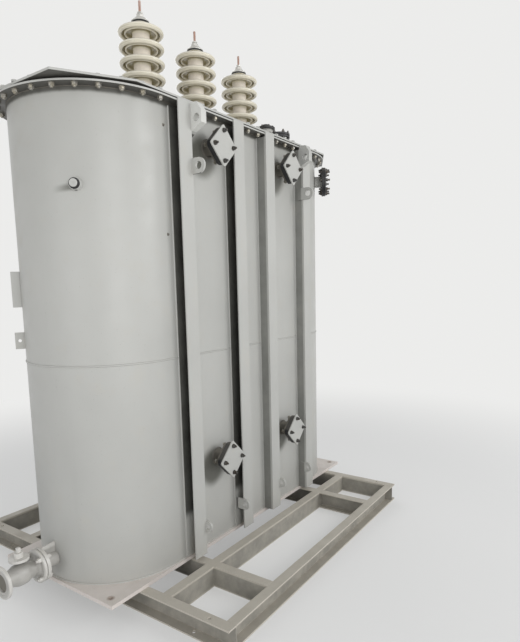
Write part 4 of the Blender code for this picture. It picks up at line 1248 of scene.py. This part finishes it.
class TRANSFORMER_OT_end_fittings(DressOperator, bpy.types.Operator):
    """Makes the boss at the near end, the blanked pipe at the far end and stubs beside the stiffeners"""

    bl_idname = "transformer.end_fittings"
    bl_label = "End fittings"

    def make(self, scene):
        self.boss()
        self.stubs()
        self.blank()

    def boss(self):
        collar = [
            (0.0, 0.022), (0.0275, 0.022), (0.0295, 0.020), (0.0295, 0.003), (0.031, 0.0), (0.031, -0.002),
            (0.0, -0.002),
        ]
        # The plug's side is black rubber as painted shade of the gap round the plug.
        side = [
            (0.0, 0.037), (0.0215, 0.037), (0.0235, 0.035), (0.0245, 0.033), (0.0240, 0.030), (0.0260, 0.027),
            (0.0265, 0.024), (0.0265, 0.021), (0.0, 0.021),
        ]
        face = [
            (0.0, 0.040), (0.0055, 0.040), (0.006, 0.0415), (0.007, 0.042), (0.0175, 0.042),
            (0.0195, 0.0405), (0.0195, 0.036), (0.0, 0.036),
        ]
        place = on_end(BOSS_ANGLE, -1, centre("end_boss").z + BOSS_RISE)
        piece = Piece("dressed_end_boss").turned(
            place, ("tank", collar), ("rubber", side), ("tank", face), steps=40)
        piece.finish("tank_paint", "end_boss")

    def stubs(self):
        stub = [(0.0, 0.008), (0.003, 0.008), (0.0045, 0.0065), (0.0045, 0.002), (0.008, 0.0), (0.0, -0.001)]
        x, heights = TANK_X - 0.716, (2.510, 1.960)
        places = [at(x, side * TANK_RADIUS, z, SIDEWAYS[side]) for _, side in SIDES for z in heights]
        Piece("wall_stubs").add(lathe(stub, 16), "soot", *places).finish("tank_paint")

    def blank(self):
        pipe = [(0.0, 0.056), (0.040, 0.056), (0.040, 0.005), (0.046, 0.0), (0.0, -0.001)]
        flange = [(0.0, 0.069), (0.106, 0.069), (0.108, 0.067), (0.108, 0.057), (0.106, 0.055), (0.0, 0.055)]
        cover = [(0.0, 0.084), (0.104, 0.084), (0.107, 0.081), (0.107, 0.072), (0.104, 0.070), (0.0, 0.070)]
        place = on_end(BLANK_ANGLE, 1, centre("end_pipe_blank").z)
        piece = Piece("dressed_end_blank").turned(
            place, ("tank", pipe), ("black", flange), ("black", cover))
        piece.bolted(circle_of(place @ ROLL, 0.084, 0.088, 8), BLANK_NUT, 71)
        piece.bolted(circle_of(place @ ROLL, 0.055, 0.088, 8, -1.0), BLANK_BOLT, 72)
        piece.finish("black_paint", "end_pipe_blank")


class TRANSFORMER_OT_stage(DressOperator, bpy.types.Operator):
    """Makes the floor, the light and the camera"""

    bl_idname = "transformer.stage"
    bl_label = "Stage"

    floor_reach = 60.0
    # Share of the backdrop that the camera sees in the floor near the object.
    floor_haze = 0.40
    # Colour and strength of the light all round.
    sky = ((0.95, 0.97, 1.0, 1.0), 0.40)
    # Name, place, target, size and power.
    lamps = (
        ("key", (2.4, -7.2, 3.9), (0.0, 0.0, 1.5), 3.0, 155.0),
        ("camera_side", (-3.6, -6.6, 2.8), (-0.6, 0.0, 1.2), 4.0, 136.0),
        ("near_end", (-6.8, -0.8, 1.9), (-0.6, 0.0, 0.9), 3.6, 60.0),
        ("rear", (4.5, 5.5, 6.5), (0.2, 0.0, 1.6), 4.5, 110.0),
    )

    def make(self, scene):
        self.floor(scene)
        self.world(scene)
        for name, place, target, size, power in self.lamps:
            lamp = bpy.data.lights.new(name, "AREA")
            lamp.shape = "SQUARE"
            lamp.size = size
            lamp.energy = power
            item = bpy.data.objects.new(name, lamp)
            scene.collection.objects.link(item)
            item.location = place
            item.rotation_euler = (Vector(target) - Vector(place)).to_track_quat("-Z", "Y").to_euler()
        self.camera(scene)
        scene.view_settings.view_transform = "Standard"

    def floor(self, scene):
        """A pale floor that passes into the backdrop; the camera sees its shadows weakened."""
        mesh = bpy.data.meshes.new("studio_floor")
        square = ((-1, -1), (1, -1), (1, 1), (-1, 1))
        corners = [(self.floor_reach * x, self.floor_reach * y, 0.0) for x, y in square]
        mesh.from_pydata(corners, [], [(0, 1, 2, 3)])
        item = bpy.data.objects.new("studio_floor", mesh)
        scene.collection.objects.link(item)
        finish = Finish("studio_floor")
        clouds = finish.noise(0.8, 4.0, 0.5)
        near = finish.node("ShaderNodeBsdfPrincipled", None, {
            "Base Color": finish.mix(clouds, BACKDROP, (0.88, 0.88, 0.87, 1.0)),
            "Roughness": clouds.span(0.3, 0.7, 0.82, 0.92),
        })
        far = finish.node("ShaderNodeEmission", None, {"Color": BACKDROP})
        reach = finish.node("ShaderNodeVectorMath", {"operation": "LENGTH"}, (finish.place,), "Value")
        away = reach.span(2.2, 5.5)
        seen = finish.node("ShaderNodeLightPath", output="Is Camera Ray")
        share = away + (1.0 - away) * seen * self.floor_haze
        finish.close("ShaderNodeOutputMaterial", finish.node("ShaderNodeMixShader", None, (share, near, far)))
        mesh.materials.append(finish.material)

    def world(self, scene):
        """Soft light all round; the camera and reflections see the backdrop."""
        world = bpy.data.worlds.new("studio")
        scene.world = world
        world.use_nodes = True
        graph = Graph(world.node_tree)
        world.node_tree.nodes.clear()
        path = graph.node("ShaderNodeLightPath", output="Is Camera Ray")
        seen = path.math("MAXIMUM", path, path.other("Is Glossy Ray"))
        light = graph.node("ShaderNodeBackground", None, self.sky)
        plain = graph.node("ShaderNodeBackground", None, (BACKDROP, 1.0))
        graph.close("ShaderNodeOutputWorld", graph.node("ShaderNodeMixShader", None, (seen, light, plain)))

    def camera(self, scene):
        """The camera, turned by yaw, pitch and roll."""
        sizes = scene.transformer_camera
        data = bpy.data.cameras.new("photo_camera")
        data.sensor_fit = "HORIZONTAL"
        data.sensor_width = 36.0
        data.lens = sizes.focal
        data.shift_x = sizes.shift_x
        data.shift_y = sizes.shift_y
        forward = Vector((
            math.cos(sizes.yaw) * math.cos(sizes.pitch),
            math.sin(sizes.yaw) * math.cos(sizes.pitch),
            -math.sin(sizes.pitch),
        ))
        right = Vector((math.sin(sizes.yaw), -math.cos(sizes.yaw), 0.0))
        down = forward.cross(right)
        rolled = right * math.cos(sizes.roll) + down * math.sin(sizes.roll)
        fallen = down * math.cos(sizes.roll) - right * math.sin(sizes.roll)
        matrix = Matrix((rolled, -fallen, -forward)).transposed().to_4x4()
        matrix.translation = Vector(sizes.place)
        item = bpy.data.objects.new("photo_camera", data)
        scene.collection.objects.link(item)
        item.matrix_world = matrix
        scene.camera = item


class TRANSFORMER_PT_panel(bpy.types.Panel):
    """Lists the transformer's operators"""

    bl_label = "Transformer"
    bl_idname = "TRANSFORMER_PT_panel"
    bl_space_type = "VIEW_3D"
    bl_region_type = "UI"
    bl_category = "Transformer"

    def draw(self, context):
        for operator in OPERATORS:
            self.layout.operator(operator.bl_idname)


SETTINGS = (
    ("transformer_paints", PaintSettings),
    ("transformer_fasteners", FastenerSettings),
    ("transformer_welds", WeldSettings),
    ("transformer_porcelain", PorcelainSettings),
    ("transformer_camera", CameraSettings),
)
OPERATORS = (
    TRANSFORMER_OT_finishes,
    TRANSFORMER_OT_shell,
    TRANSFORMER_OT_stiffeners,
    TRANSFORMER_OT_flange_bolts,
    TRANSFORMER_OT_welds,
    TRANSFORMER_OT_radiator_valves,
    TRANSFORMER_OT_bushings,
    TRANSFORMER_OT_turret,
    TRANSFORMER_OT_cover_neck,
    TRANSFORMER_OT_drain,
    TRANSFORMER_OT_end_fittings,
    TRANSFORMER_OT_stage,
)


def register():
    """Registers the classes and the settings."""
    for label, settings in SETTINGS:
        bpy.utils.register_class(settings)
        setattr(bpy.types.Scene, label, PointerProperty(type=settings))
    for operator in OPERATORS:
        bpy.utils.register_class(operator)
    bpy.utils.register_class(TRANSFORMER_PT_panel)


def unregister():
    """Removes what register added."""
    bpy.utils.unregister_class(TRANSFORMER_PT_panel)
    for operator in reversed(OPERATORS):
        bpy.utils.unregister_class(operator)
    for label, settings in reversed(SETTINGS):
        delattr(bpy.types.Scene, label)
        bpy.utils.unregister_class(settings)


def main():
    """Registers the add-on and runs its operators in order."""
    register()
    for operator in OPERATORS:
        group, name = operator.bl_idname.split(".")
        getattr(getattr(bpy.ops, group), name)()


if __name__ == "__main__":
    main()
